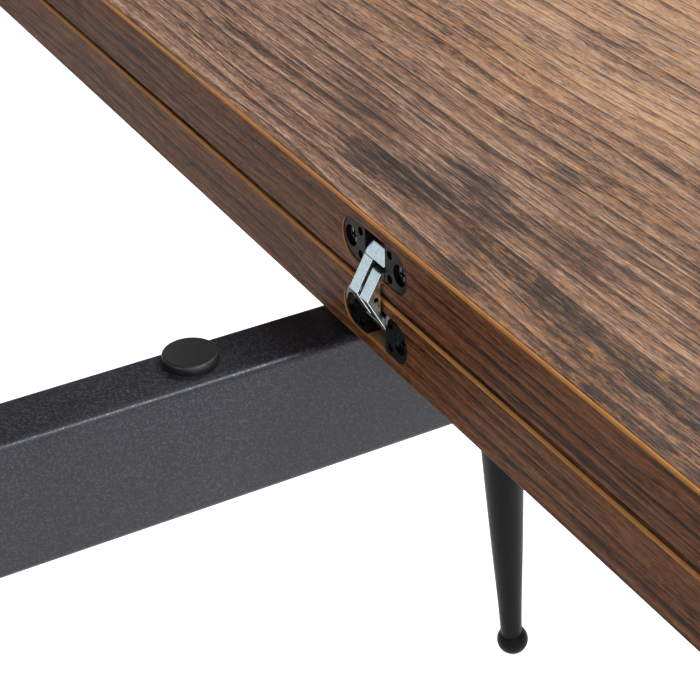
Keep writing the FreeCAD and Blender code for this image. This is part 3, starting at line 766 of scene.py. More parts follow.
@dataclass(frozen=True)
class PrintedBand(OakPrint):
    """ABS edge band, extruded orange-brown and printed with oak grain on its outer face.

    The print ends where the long edges are scraped round, so the plain body
    shows as a crisp orange line along every arris and round the hinge pockets.
    """

    body: str = "#dc9c5c"
    worn: str = "#b87a3c"
    middle_x: float = 0.0
    half_x: float = 0.3
    half_y: float = 0.46
    corner: float = 0.006
    top_at: float = 0.724
    thick: float = 0.024
    pitch: float = 0.026
    scraped: float = 0.0011
    lap: float = 0.0008

    def outer(self, tree: Tree, at: Any) -> tuple[Node, Node]:
        """How far a place lies outside the board's outline, and whether it is on a short side.

        The distance is that of a rectangle with round corners: the length of
        what sticks out past the corner centres, less the corner radius.

        Args:
            tree: the node tree.
            at: the place, in metres.

        Returns:
            The distance in metres, and 1 on the short sides or 0 elsewhere.
        """
        vector = partial(add_node, tree, "VectorMath")
        size = vector("ABSOLUTE", vector("SUBTRACT", at, (self.middle_x, 0.0, 0.0)))
        # The height plays no part: 10 m are taken off it, so nothing of it is left over
        past = vector("SUBTRACT", size, (self.half_x - self.corner, self.half_y - self.corner, 10.0))
        length = vector("LENGTH", vector("MAXIMUM", past, (0.0, 0.0, 0.0)))
        x, y, _ = add_node(tree, "SeparateXYZ", "", past).outputs
        return (add_node(tree, "Math", "SUBTRACT", length, self.corner),
                add_node(tree, "Math", "GREATER_THAN", y, x))

    def grain_place(self, tree: Tree, at: Any) -> Any:
        """Place along the band: the grain follows the band round the board.

        Args:
            tree: the node tree.
            at: the place on the piece, in metres.

        Returns:
            The place, with X and Y changed over on the short sides.
        """
        x, y, z = add_node(tree, "SeparateXYZ", "", at).outputs
        crossed = add_node(tree, "CombineXYZ", "", y, x, z)
        return add_node(tree, "Mix", {"data_type": "VECTOR"}, self.outer(tree, at)[1], at, crossed)

    def printed(self, tree: Tree, at: Any) -> Node:
        """Where the print covers the band, from 0 to 1.

        It covers the outer face up to the scraped strip under the upper
        arris, the lower arris, and the inner part of the upper side, where
        the board's paper laps over. Heights are wrapped so that both boards
        count from the same place.

        Args:
            tree: the node tree.
            at: the place, in metres.

        Returns:
            The cover.
        """
        combine, step = partial(add_node, tree, "Math"), partial(add_node, tree, "MapRange", "")
        top_end = self.top_at + (self.pitch - self.thick) / 2
        level = add_node(tree, "SeparateXYZ", "", at).outputs["Z"]
        level = combine("WRAP", level, top_end, top_end - self.pitch)
        distance = self.outer(tree, at)[0]
        arris, bottom = self.top_at - self.scraped, self.top_at - self.thick
        face = combine("MULTIPLY", step(distance, -0.05 * MM, -0.015 * MM),
                       step(level, arris + 0.1 * MM, arris))
        lapped = combine("MULTIPLY", step(distance, -self.lap, -self.lap - 0.1 * MM),
                         step(level, self.top_at - 0.6 * MM, self.top_at - 0.5 * MM))
        under = step(level, bottom + 1.2 * MM, bottom + 1.1 * MM)
        return combine("MAXIMUM", combine("MAXIMUM", face, lapped), under)

    def paint(self, tree: Tree, at: Any) -> dict[str, Any]:
        """Print the outer face and leave the rest in the band's own colour.

        Args:
            tree: the node tree.
            at: the place on the piece, in metres.

        Returns:
            What goes into the surface shader, by the names of its inputs.
        """
        made, height, rough = self.pattern(tree, at)
        printed = self.printed(tree, at)
        # The scraped edge is a little uneven, in marks a few millimetres long
        marks = self.noise(tree, at, (2.0, 7.0, 2.0))
        plain = add_node(tree, "Mix", COLOURS, marks, colour(self.worn), colour(self.body))
        both = add_node(tree, "Mix", COLOURS, printed, plain, made)
        height = add_node(tree, "Math", "MULTIPLY", height, printed)
        bump = add_node(tree, "Bump", Height=height, Strength=self.relief, Distance=self.relief_mm * MM)
        return {"Base Color": both, "Roughness": rough, "Normal": bump}


@dataclass(frozen=True)
class RawFibreboard(Finish):
    """Raw fibreboard where the router cut it: dull, pale brown and finely furred."""

    light: str = "#a17e5c"
    deep: str = "#76573a"
    fibre_mm: Triple = (0.5, 0.5, 0.3)
    fur_mm: float = 0.08

    def paint(self, tree: Tree, at: Any) -> dict[str, Any]:
        """Speckle of pressed fibres about half a millimetre across.

        Args:
            tree: the node tree.
            at: the place on the piece, in metres.

        Returns:
            What goes into the surface shader, by the names of its inputs.
        """
        fibre = self.noise(tree, at, self.fibre_mm, 3.0, 0.7)
        mix = add_node(tree, "Mix", COLOURS, fibre, colour(self.deep), colour(self.light))
        bump = add_node(tree, "Bump", Height=fibre, Strength=0.7, Distance=self.fur_mm * MM)
        return {"Base Color": mix, "Normal": bump}


@dataclass(frozen=True)
class PowderCoat(Finish):
    """Fine-texture polyester powder coat on steel, baked on.

    The eye sees a near-black skin that shines softly, brighter where it
    mirrors a pale floor, with an orange-peel grit of about a third of a
    millimetre. The grit is drawn half as coarse again, so that it shows,
    and its few pale specks are painted glints.
    """

    ground: str = "#060709"
    glint_speck: str = "#3f3f45"
    grit_mm: float = 0.5
    mottle_mm: float = 45.0
    relief_mm: float = 0.08
    rough_swing: float = 0.06

    def paint(self, tree: Tree, at: Any) -> dict[str, Any]:
        """Grit, specks and a slow change of shade.

        Args:
            tree: the node tree.
            at: the place on the piece, in metres.

        Returns:
            What goes into the surface shader, by the names of its inputs.
        """
        add = partial(add_node, tree)
        cells = add("TexVoronoi", Vector=at, Scale=1.0 / (self.grit_mm * MM)).outputs["Color"]
        # Each cell has a lot from 0 to 1; its fourth power leaves only a few cells pale, painted glints on the
        # grit
        sparse = add("Math", "POWER", add("SeparateColor", "", cells), 4.0)
        coarse = self.noise(tree, at, (self.grit_mm * 1.7,) * 3, 2.0, 0.6, (0.30, 0.70))
        grit = weighted(tree, sparse, (coarse, 0.2))
        mottle = add("MapRange", "", self.noise(tree, at, (self.mottle_mm,) * 3), 0.3, 0.7, 0.85, 1.15)
        mix = add("Mix", COLOURS, grit, colour(self.ground), colour(self.glint_speck))
        toned = add("VectorMath", "SCALE", mix, mottle)
        dull, bright = self.rough + self.rough_swing, self.rough - self.rough_swing
        rough = add("MapRange", "", grit, 0.0, 1.0, dull, bright)
        bump = add("Bump", Height=grit, Strength=0.5, Distance=self.relief_mm * MM)
        return {"Base Color": toned, "Roughness": rough, "Normal": bump}


@dataclass(frozen=True)
class Skin(Finish):
    """One-colour finish with a fine skin: moulded plastic, rubber, lacquer or plate.

    Two shades run into each other in blotches of a real size, and a finer
    grain of a real size and depth breaks the highlight.
    """

    base: str = "#202020"
    other: str = "#2a2a2a"
    blotch_mm: Triple = (20.0, 20.0, 20.0)
    grain_mm: Triple = (0.6, 0.6, 0.6)
    grain_depth_mm: float = 0.02
    rough_swing: float = 0.08

    def paint(self, tree: Tree, at: Any) -> dict[str, Any]:
        """Blotches of two shades and the fine grain.

        Args:
            tree: the node tree.
            at: the place on the piece, in metres.

        Returns:
            What goes into the surface shader, by the names of its inputs.
        """
        blotch = self.noise(tree, at, self.blotch_mm, 3.0, 0.6, (0.35, 0.65))
        mix = add_node(tree, "Mix", COLOURS, blotch, colour(self.base), colour(self.other))
        grain = self.noise(tree, at, self.grain_mm, 2.0, 0.6)
        rough = add_node(tree, "MapRange", "", grain, 0.3, 0.7, self.rough - self.rough_swing,
                         self.rough + self.rough_swing)
        bump = add_node(tree, "Bump", Height=grain, Strength=0.5, Distance=self.grain_depth_mm * MM)
        return {"Base Color": mix, "Roughness": rough, "Normal": bump}


OAK_TOP = OakPrint("smoked oak print, pressed melamine", "wood_decor",
                   rough=0.46, gloss=0.35,
                   slate_spots=((-66, -240, 13, 34), (-58, -262, 10, 34), (-42, -266, 12, 36),
                                (-17, -281, 8, 20), (-51, -294, 8, 24), (-68, -350, 9, 40),
                                (-68, -398, 10, 34), (250, 60, 24, 70), (380, -250, 18, 60),
                                (150, 310, 20, 60)),
                   # Painted light on the brighter, warmer right and far parts of the top; painted shade on its
                   # near part by the hinge, and on two darker patches further off
                   painted_light_spots=((88, -208, 118, 160), (300, 120, 130, 250)),
                   painted_shade_spots=((-62, -300, 30, 70), (-70, -400, 75, 115), (420, 200, 100, 200),
                              (20, 395, 70, 85)),
                   figure_spots=((66, -212, 40, 60), (330, 120, 50, 90)))
OAK_LOWER = replace(OAK_TOP, name="smoked oak print, pressed melamine, lower board",
                    shift_mm=(-330.0, 260.0, 0.0))
OAK_INSIDE = replace(OAK_TOP, name="smoked oak print, pressed melamine, inside of leaf",
                     shift_mm=(250.0, -310.0, 0.0))
OAK_BAND = PrintedBand("oak print edge band, extruded", "edge_band",
                       rough=0.5, gloss=0.12, dark="#2c160a", brown="#683c20",
                       grey="#835233", pale="#986747", tan="#8a552e", slate="#5a5048", crack="#130c08",
                       ring_mm=5.0, line_depth=0.3, tan_reach=0.4, slate_reach=0.3, relief_mm=0.12, relief=0.5,
                       middle_x=0.212825,
                       split_lines=((-380, 733.7, 66, 0.9), (-222, 733.4, 30, 0.7), (-365, 711.2, 80, 0.8),
                                    (-90, 745.0, 40, 2.2), (-440, 741.0, 50, 0.7), (150, 736.0, 90, 0.8),
                                    (60, 712.0, 70, 0.8)))
CORE = RawFibreboard("raw fibreboard, routed", "board_core",
                     rough=0.9)
STEEL_COAT = PowderCoat("fine texture powder coat on steel", "powder_steel",
                        rough=0.36, gloss=0.54, tint="#f0f1fa")
RUBBER = Skin("black rubber, moulded", "pad_rubber",
              rough=0.42, gloss=0.6, base="#151615", other="#1b1b1a",
              blotch_mm=(9.0,) * 3, grain_mm=(0.45,) * 3, grain_depth_mm=0.04)
LACQUER = Skin("black satin lacquer on turned beech", "black_wood",
               rough=0.42, gloss=0.12, base="#0e0e0f", other="#131314",
               blotch_mm=(14.0, 14.0, 110.0), grain_mm=(1.1, 1.1, 26.0), grain_depth_mm=0.03)
FOOT_PLASTIC = Skin("black polyamide, moulded", "foot_plastic",
                    rough=0.5, gloss=0.12, base="#0b0b0c", other="#101011",
                    blotch_mm=(8.0,) * 3, grain_mm=(0.5,) * 3)
SLIDE_PLASTIC = Skin("natural acetal, turned", "slide_plastic",
                     rough=0.42, base="#d6d3c8", other="#cbc7ba",
                     blotch_mm=(12.0,) * 3, grain_mm=(0.4,) * 3, grain_depth_mm=0.01)
ZINC_STEEL = Skin("bright zinc plate on steel", "zinc_steel",
                  rough=0.3, metal=1.0, base="#b9bcc0", other="#c9cbcb",
                  blotch_mm=(6.0,) * 3, grain_mm=(0.5,) * 3, grain_depth_mm=0.01)
LINK_ZINC = Skin("pale zinc plate on die-cast link", "link_zinc",
                 rough=0.24, metal=1.0, base="#d9e6e6", other="#ecf4f3",
                 blotch_mm=(2.2,) * 3, grain_mm=(0.35,) * 3, grain_depth_mm=0.015, rough_swing=0.05)
# The leaf's and the lower board's hinge bodies are one black plate: the leaf's brownish tint is a painted
# sheen, and the lower's deeper black is painted shade
BLACK_PLATE_PAINTED_SHEEN = Skin("gunmetal lacquer on die-cast zinc", "hinge_body_bronze",
                rough=0.3, gloss=0.06, base="#0f0806", other="#150d0a",
                blotch_mm=(3.0,) * 3, grain_mm=(0.4,) * 3, grain_depth_mm=0.012)
BLACK_PLATE_PAINTED_SHADE = Skin("gloss black lacquer on die-cast zinc", "hinge_body_black",
                   rough=0.13, base="#070606", other="#0c0a09",
                   blotch_mm=(3.0,) * 3, grain_mm=(0.8,) * 3, grain_depth_mm=0.012, rough_swing=0.05)
# The screws' near-black is the black oxide, darkened further as painted shade for the hollow of their holes
BLACK_OXIDE_WITH_HOLE_SHADE = Skin("black oxide on steel screw", "screw_black",
                   rough=0.2, base="#060505", other="#0a0909",
                   blotch_mm=(1.5,) * 3, grain_mm=(0.3,) * 3, grain_depth_mm=0.01)


# Setting the pieces in place


@dataclass
class Assembly:
    """Pieces made for some of the frame's solids; nodes holds all of these by name."""

    nodes: dict[str, Thing]

    def dress(self, thing: Thing, finish: Finish, body: str, *names: str) -> None:
        """Give a new piece its finish and its place on the frame.

        Args:
            thing: the new piece.
            finish: its finish.
            body: the body it moves with.
            *names: the solids that it stands for.
        """
        thing.data.materials.clear()
        thing.data.materials.append(finish.material())
        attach(thing, body)
        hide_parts(*names)
        LOG.info("made %s for %s", thing.name, ", ".join(names))

    def coat(self, finish: Finish, *names: str) -> None:
        """Give solids that stay as they are their finish.

        Args:
            finish: the finish.
            *names: the solids to cover.
        """
        for name in names:
            slots = self.nodes[name].data.materials
            slots.clear()
            slots.append(finish.material())
            LOG.info("coated %s", name)


@dataclass
class Studio:
    """Camera, floor and soft lights."""

    eye: Triple = (-0.354625, -0.750362, 1.047076)
    bearing: float = 28.431
    pitch: float = 32.284
    roll: float = -1.396
    lens: float = 99.436
    sensor: float = 36.0
    floor_size: float = 14.0
    floor_level: float = 0.9
    sky_level: float = 0.22
    room_level: float = 0.23
    floor_tint: str = "#c6c6c6"
    room_tint: str = "#e6f1fc"

    def camera(self) -> None:
        """Stand the camera where the photograph was taken from."""
        data = bpy.data.cameras.new("camera")
        data.sensor_width = self.sensor
        data.lens = self.lens
        data.clip_start = 0.02
        data.clip_end = 60.0
        thing = put("camera", data)
        turn = (Matrix.Rotation(math.radians(-self.bearing), 4, "Z")
                @ Matrix.Rotation(math.radians(90.0 - self.pitch), 4, "X")
                @ Matrix.Rotation(math.radians(self.roll), 4, "Z"))
        thing.matrix_world = Matrix.Translation(self.eye) @ turn
        bpy.context.scene.camera = thing

    def floor(self) -> None:
        """Lay a pale floor that the camera sees as white, but for the shadow on it."""
        half = self.floor_size / 2
        corners = np.array([[-half, -half, 0.0], [half, -half, 0.0], [half, half, 0.0], [-half, half, 0.0]])
        thing = piece("studio_floor", corners, [[0, 1, 2, 3]], smooth=None, outward=False)
        material = bpy.data.materials.new("pale floor paint")
        tree = clear_tree(material)
        ray = add_node(tree, "LightPath").outputs
        seen = add_node(tree, "Math", "MAXIMUM", ray["Is Camera Ray"], ray["Is Glossy Ray"])
        level = add_node(tree, "Math", "MULTIPLY", seen, self.floor_level)
        matt = add_node(tree, "BsdfPrincipled", Base_Color=colour(self.floor_tint), Roughness=0.9,
                        Emission_Color=WHITE, Emission_Strength=level)
        add_node(tree, "OutputMaterial", Surface=matt)
        thing.data.materials.append(material)

    def lamp(self, name: str, place: Triple, aim: Triple, size: float, power: float,
             tint: str = "#ffffff") -> None:
        """Hang one soft square lamp.

        Args:
            name: the lamp's name.
            place: where it hangs.
            aim: the point that it faces.
            size: the length of its sides.
            power: its power in watts.
            tint: its colour.
        """
        data = bpy.data.lights.new(name, "AREA")
        data.shape = "SQUARE"
        data.size = size
        data.energy = power
        data.color = colour(tint)[:3]
        thing = put(name, data)
        back = np.array(place) - np.array(aim)
        back /= np.linalg.norm(back)
        right = np.cross((0.0, 0.0, 1.0), back)
        right /= np.linalg.norm(right)
        rows = np.stack([right, np.cross(back, right), back], axis=1)
        thing.matrix_world = Matrix.Translation(place) @ Matrix(rows.tolist()).to_4x4()

    def sky(self) -> None:
        """Light all round, softly, with a white background behind the object."""
        world = bpy.data.worlds.new("studio")
        bpy.context.scene.world = world
        tree = clear_tree(world)
        ray = add_node(tree, "LightPath").outputs
        seen = add_node(tree, "Math", "MAXIMUM", ray["Is Camera Ray"], ray["Is Transmission Ray"])
        # The backdrop is white low down, and the room above it is dim in reflections
        heading = add_node(tree, "SeparateXYZ", "", add_node(tree, "TexCoord").outputs["Generated"])
        room = add_node(tree, "MapRange", SMOOTH, heading.outputs["Z"], 0.02, 0.30, 1.0, self.room_level)
        soft = add_node(tree, "MapRange", "", ray["Is Glossy Ray"], 0.0, 1.0, self.sky_level, room)
        level = add_node(tree, "Math", "MAXIMUM", soft, seen)
        tint = add_node(tree, "Mix", COLOURS, ray["Is Glossy Ray"], WHITE, colour(self.room_tint))
        glow = add_node(tree, "Background", Color=tint, Strength=level)
        add_node(tree, "OutputWorld", Surface=glow)

    def build(self) -> None:
        """Set up the whole studio."""
        bpy.context.scene.view_settings.view_transform = "Standard"
        self.camera()
        self.floor()
        self.sky()
        self.lamp("front_light", (-0.5, -3.2, 1.7), (0.0, 0.0, 0.6), 2.0, 40.0)
        self.lamp("left_light", (-3.2, -1.0, 0.85), (0.0, 0.0, 0.72), 1.2, 13.0)
        self.lamp("high_light", (1.6, 0.5, 2.4), (0.0, -0.1, 0.7), 1.1, 38.0, "#fff8ee")
        self.lamp("corner_light", (0.8, -2.0, 2.9), (-0.35, -0.25, 0.69), 0.5, 50.0, "#f4f8ff")
        LOG.info("studio ready")


@dataclass
class TubeFrame(Assembly):
    """Welded frame of rectangular steel tube, with its bars, plates and pads."""

    middle_x: float = FOLD_X
    length: float = FRAME_LENGTH
    width: float = FRAME_WIDTH
    top: float = 0.696
    tube_width: float = 0.026
    tube_height: float = 0.052
    corner: float = 0.003
    bar_width: float = 0.030
    bar_height: float = 0.025
    plate_thick: float = 0.003
    bar_spacing: float = 0.160
    weld_radius: float = 0.0016
    weld_ripple: float = 0.00022
    weld_start: float = 0.9
    weld_inset: float = 0.001
    weld_flat: float = 0.6
    pivot_x: float = 0.06275
    pad_radius: float = 0.0098
    pad_rim: float = 0.0009
    pad_dish: float = 0.00025
    pad_foot: tuple[float, float] = (0.0002, 0.0003)
    pad_inboard: float = 0.002
    pad_height: float = 0.0037
    pad_places: tuple[float, ...] = (-0.350, -0.0522, 0.0522, 0.350)
    leg_plate: float = 0.086
    leg_plate_thick: float = 0.006
    leg_plate_inset: float = 0.002
    leg_plate_corner: float = 0.006
    leg_plate_edge: float = 0.0006

    def rail(self, length: float, turn: float) -> np.ndarray:
        """One tube of the outer frame with both ends cut at 45 degrees.

        The round-cornered outline is carried along the rail. Each point's line
        is shortened by its distance from the frame's outer face at each end.

        Args:
            length: length over the outer face.
            turn: 0, 90, 180 or 270 degrees about the frame's middle.

        Returns:
            The grid of points in its place.
        """
        outline = rounded_outline(self.tube_width, self.tube_height, self.corner)
        from_outer = outline[:, 0] + self.tube_width / 2
        half = length / 2 - from_outer
        across = (self.width if turn in (0.0, 180.0) else self.length) / 2
        outline = outline + (self.tube_width / 2 - across, self.top - self.tube_height / 2)
        grid = carried(outline, -half, half)
        angle = math.radians(turn)
        sine, cosine = math.sin(angle), math.cos(angle)
        spin = np.array([[cosine, sine, 0.0], [-sine, cosine, 0.0], [0.0, 0.0, 1.0]])
        return grid @ spin + (self.middle_x, 0.0, 0.0)

    def rails(self) -> None:
        """Make the four tubes of the outer frame."""
        sides = (("rail_near", self.length, 0.0), ("end_rail_right", self.width, 90.0),
                 ("rail_far", self.length, 180.0), ("end_rail_left", self.width, 270.0))
        for node, length, turn in sides:
            thing = piece("tube_" + node, *closed_grid([self.rail(length, turn)]))
            self.dress(thing, STEEL_COAT, "base_frame", node)

    def crossbars(self) -> None:
        """Make the two bars that carry the pivot plate, with a weld bead at each end."""
        span = self.width - 2 * self.tube_width
        level = self.top - self.plate_thick - self.bar_height / 2
        for node, side in (("crossbar_left", Side.MINUS), ("crossbar_right", Side.PLUS)):
            x = self.pivot_x + side.value * self.bar_spacing / 2
            outline = rounded_outline(self.bar_width, self.bar_height, self.corner)
            half = np.full(len(outline), span / 2)
            bar = carried(outline + (0.0, level), -half, half)
            bar = np.stack([bar[..., 1] + x, bar[..., 0], bar[..., 2]], axis=-1)
            grids = [bar] + [self.weld(x, level, end) for end in Side]
            thing = piece("bar_" + node, *closed_grid(grids))
            self.dress(thing, STEEL_COAT, "base_frame", node)

    def weld(self, x: float, level: float, end: Side) -> np.ndarray:
        """Bead of weld round the end of a crossbar, where it meets the rail.

        A small circle is carried round the bar's outline; its radius swells
        and shrinks a little, once for every few millimetres of bead.

        Args:
            x: the bar's place along the frame.
            level: the bar's middle height.
            end: which end of the bar.

        Returns:
            The grid of points, open where the bead ends above the bar.
        """
        face = end.value * (self.width / 2 - self.tube_width)
        path = rounded_outline(self.bar_width, self.bar_height, self.corner, 24)
        # The way round starts some radians past the bar's top, and 160 of its 220 steps get a bead
        way = (np.arctan2(path[:, 1], path[:, 0]) - np.pi / 2 - self.weld_start) % (2 * np.pi)
        path = path[np.argsort(way)]
        keep = np.linspace(0, len(path) - 1, 220)[10:170]
        fine = np.stack([np.interp(keep, np.arange(len(path)), path[:, k]) for k in (0, 1)], axis=1)
        outward = fine / np.linalg.norm(fine, axis=1, keepdims=True)
        ripple = self.weld_radius + self.weld_ripple * np.sin(np.arange(len(fine)) * 1.1)
        turn = np.linspace(0.0, 2.0 * np.pi, 12, endpoint=False)
        ring = ripple[:, None] * np.cos(turn)
        grid = np.empty((len(fine), 12, 3))
        grid[..., 0] = x + fine[:, None, 0] + outward[:, None, 0] * ring
        grid[..., 2] = level + fine[:, None, 1] + outward[:, None, 1] * ring
        grid[..., 1] = face - end.value * self.weld_inset + ripple[:, None] * np.sin(turn) * self.weld_flat
        return grid

    def pads(self) -> None:
        """Make the round pads on the rails, with a rounded rim and a faint dish."""
        rim = arc((self.pad_radius - self.pad_rim, self.pad_height - self.pad_rim), self.pad_rim, 0.0, 90.0, 7)
        inner = np.linspace(self.pad_radius - self.pad_rim - 0.3 * MM, 0.3 * MM, 6)
        dish = self.pad_height - self.pad_dish * (1.0 - (inner / self.pad_radius) ** 2)
        foot = np.array([[self.pad_radius - self.pad_foot[0], 0.0], [self.pad_radius, self.pad_foot[1]]])
        radii = np.concatenate([foot[:, 0], rim[:, 0], inner])
        heights = np.concatenate([foot[:, 1], rim[:, 1], dish])
        one = turned(radii, heights, 72)
        rows = [side.value * ((self.width - self.tube_width) / 2 - self.pad_inboard) for side in Side]
        grids = [one + (self.middle_x + x, y, self.top) for y in rows for x in self.pad_places]
        thing = piece("rubber_pads", *closed_grid(grids), smooth=40.0)
        self.dress(thing, RUBBER, "base_frame", "support_pads")

    def plates(self) -> None:
        """Make the four leg plates under the frame's corners."""
        outline = rounded_outline(self.leg_plate, self.leg_plate, self.leg_plate_corner, 8)
        one = edged_plate(outline, self.leg_plate_thick, self.leg_plate_edge)
        inset = self.leg_plate_inset + self.leg_plate / 2
        level = self.top - self.tube_height - self.leg_plate_thick
        x, y = self.length / 2 - inset, self.width / 2 - inset
        grids = [one + (self.middle_x + end.value * x, side.value * y, level)
                 for end in Side for side in Side]
        thing = piece("corner_plates", *closed_grid(grids))
        self.dress(thing, STEEL_COAT, "base_frame", "leg_plates")

    def build(self) -> None:
        """Make every piece of the frame."""
        self.rails()
        self.crossbars()
        self.pads()
        self.plates()
        self.coat(STEEL_COAT, "pivot_plate")
        self.coat(ZINC_STEEL, "leg_studs")


@dataclass
class Legs(Assembly):
    """Four splayed, turned and lacquered legs on ball feet."""

    middle_x: float = FOLD_X
    frame_half_length: float = FRAME_LENGTH / 2
    frame_half_width: float = FRAME_WIDTH / 2
    top_from_end: float = 0.043
    top_from_side: float = 0.030
    splay_long: float = 0.056
    splay_cross: float = 0.017
    level: float = 0.638
    top_radius: float = 0.023
    neck_radius: float = 0.0085
    neck_height: float = 0.019
    foot_radius: float = 0.0125
    foot_centre: float = 0.0113
    foot_flat_in: float = 0.0006
    foot_step: tuple[float, float] = (0.0002, 0.00004)
    ball_start: float = 4.0
    ball_end: float = 88.0
    rings: int = 72
    height_shares: tuple[float, ...] = (0.0, 0.03, 0.07, 0.13, 0.225, 0.35, 0.5, 0.66, 0.82, 1.0)
    swell_shares: tuple[float, ...] = (0.0, 0.03, 0.10, 0.22, 0.39, 0.585, 0.765, 0.90, 0.975, 1.0)

    def leg(self, end: int, side: int) -> np.ndarray:
        """Surface of one leg.

        The radius follows a smooth curve from the neck to the top. Round the
        leg, each line of points runs along the tilted axis and stops where it
        meets the level plane under the frame.

        Args:
            end: which end of the frame, -1 or 1.
            side: which side of the frame, -1 or 1.

        Returns:
            The grid of points in its place.
        """
        top = np.array([self.middle_x + end * (self.frame_half_length - self.top_from_end),
                        side * (self.frame_half_width - self.top_from_side), self.level])
        foot = np.array([top[0] + end * self.splay_long, top[1] + side * self.splay_cross, 0.0])
        axis = top - foot
        length = float(np.linalg.norm(axis))
        share = np.linspace(0.0, 1.0, self.rings)
        swell = smooth_through(np.array(self.height_shares), np.array(self.swell_shares), share)
        radius = self.neck_radius + (self.top_radius - self.neck_radius) * swell
        grid = tilted(turned(radius, np.zeros(self.rings)), np.zeros(3), axis)
        up = axis / length
        reach = (self.level - grid[-1, :, 2]) / up[2]
        along = self.neck_height + share[:, None] * (reach[None, :] - self.neck_height)
        return grid + along[..., None] * up + foot

    def foot(self, end: int, side: int) -> np.ndarray:
        """Ball foot: a circle's arc from the flat underside up over the ball to the neck.

        Args:
            end: which end of the frame, -1 or 1.
            side: which side of the frame, -1 or 1.

        Returns:
            The grid of points in its place.
        """
        low = math.degrees(math.asin(-self.foot_centre / self.foot_radius)) + self.ball_start
        ball = arc((0.0, self.foot_centre), self.foot_radius, low, self.ball_end, 40)
        rim = ball[0, 0]
        under = np.array([[rim - self.foot_flat_in, 0.0], [rim - self.foot_step[0], self.foot_step[1]]])
        outline = np.concatenate([under, ball])
        x = self.middle_x + end * (self.frame_half_length - self.top_from_end + self.splay_long)
        y = side * (self.frame_half_width - self.top_from_side + self.splay_cross)
        return turned(outline[:, 0], outline[:, 1]) + (x, y, 0.0)

    def build(self) -> None:
        """Make the legs and their feet."""
        corners = {"near_left": (-1, -1), "near_right": (1, -1), "far_left": (-1, 1), "far_right": (1, 1)}
        for name, (end, side) in corners.items():
            leg = piece("turned_leg_" + name, *closed_grid([self.leg(end, side)]), smooth=40.0)
            self.dress(leg, LACQUER, "base_frame", "leg_" + name)
            foot = piece("ball_foot_" + name, *closed_grid([self.foot(end, side)]), smooth=50.0)
            self.dress(foot, FOOT_PLASTIC, "base_frame", "foot_" + name)


@dataclass
class Swivel(Assembly):
    """Turned flange, slide disc, washer, nut and stop under the lower board."""

    turned_edge: float = 0.0003
    nut_edge: float = 0.0006

    def build(self) -> None:
        """Dress the swivel."""
        self.coat(SLIDE_PLASTIC, "swivel_slide_disc")
        for node in ("swivel_flange", "swivel_washer", "swivel_nut", "swivel_stop_pin"):
            edge = self.nut_edge if node == "swivel_nut" else self.turned_edge
            thing = solid_copy("edged_" + node, self.nodes[node], edge)
            self.dress(thing, ZINC_STEEL, "lower_board", node)
        self.coat(ZINC_STEEL, "swivel_flange_screws")


@dataclass
class Boards(Assembly):
    """The two boards of the top: core, laminates and edge band."""

    def build(self) -> None:
        """Dress both boards."""
        self.coat(CORE, "lower_core", "leaf_core")
        self.coat(OAK_LOWER, "lower_under_laminate", "lower_decor_laminate")
        self.coat(OAK_INSIDE, "leaf_decor_laminate")
        self.coat(OAK_TOP, "leaf_outer_laminate")
        self.coat(OAK_BAND, "lower_edge_band", "leaf_edge_band")


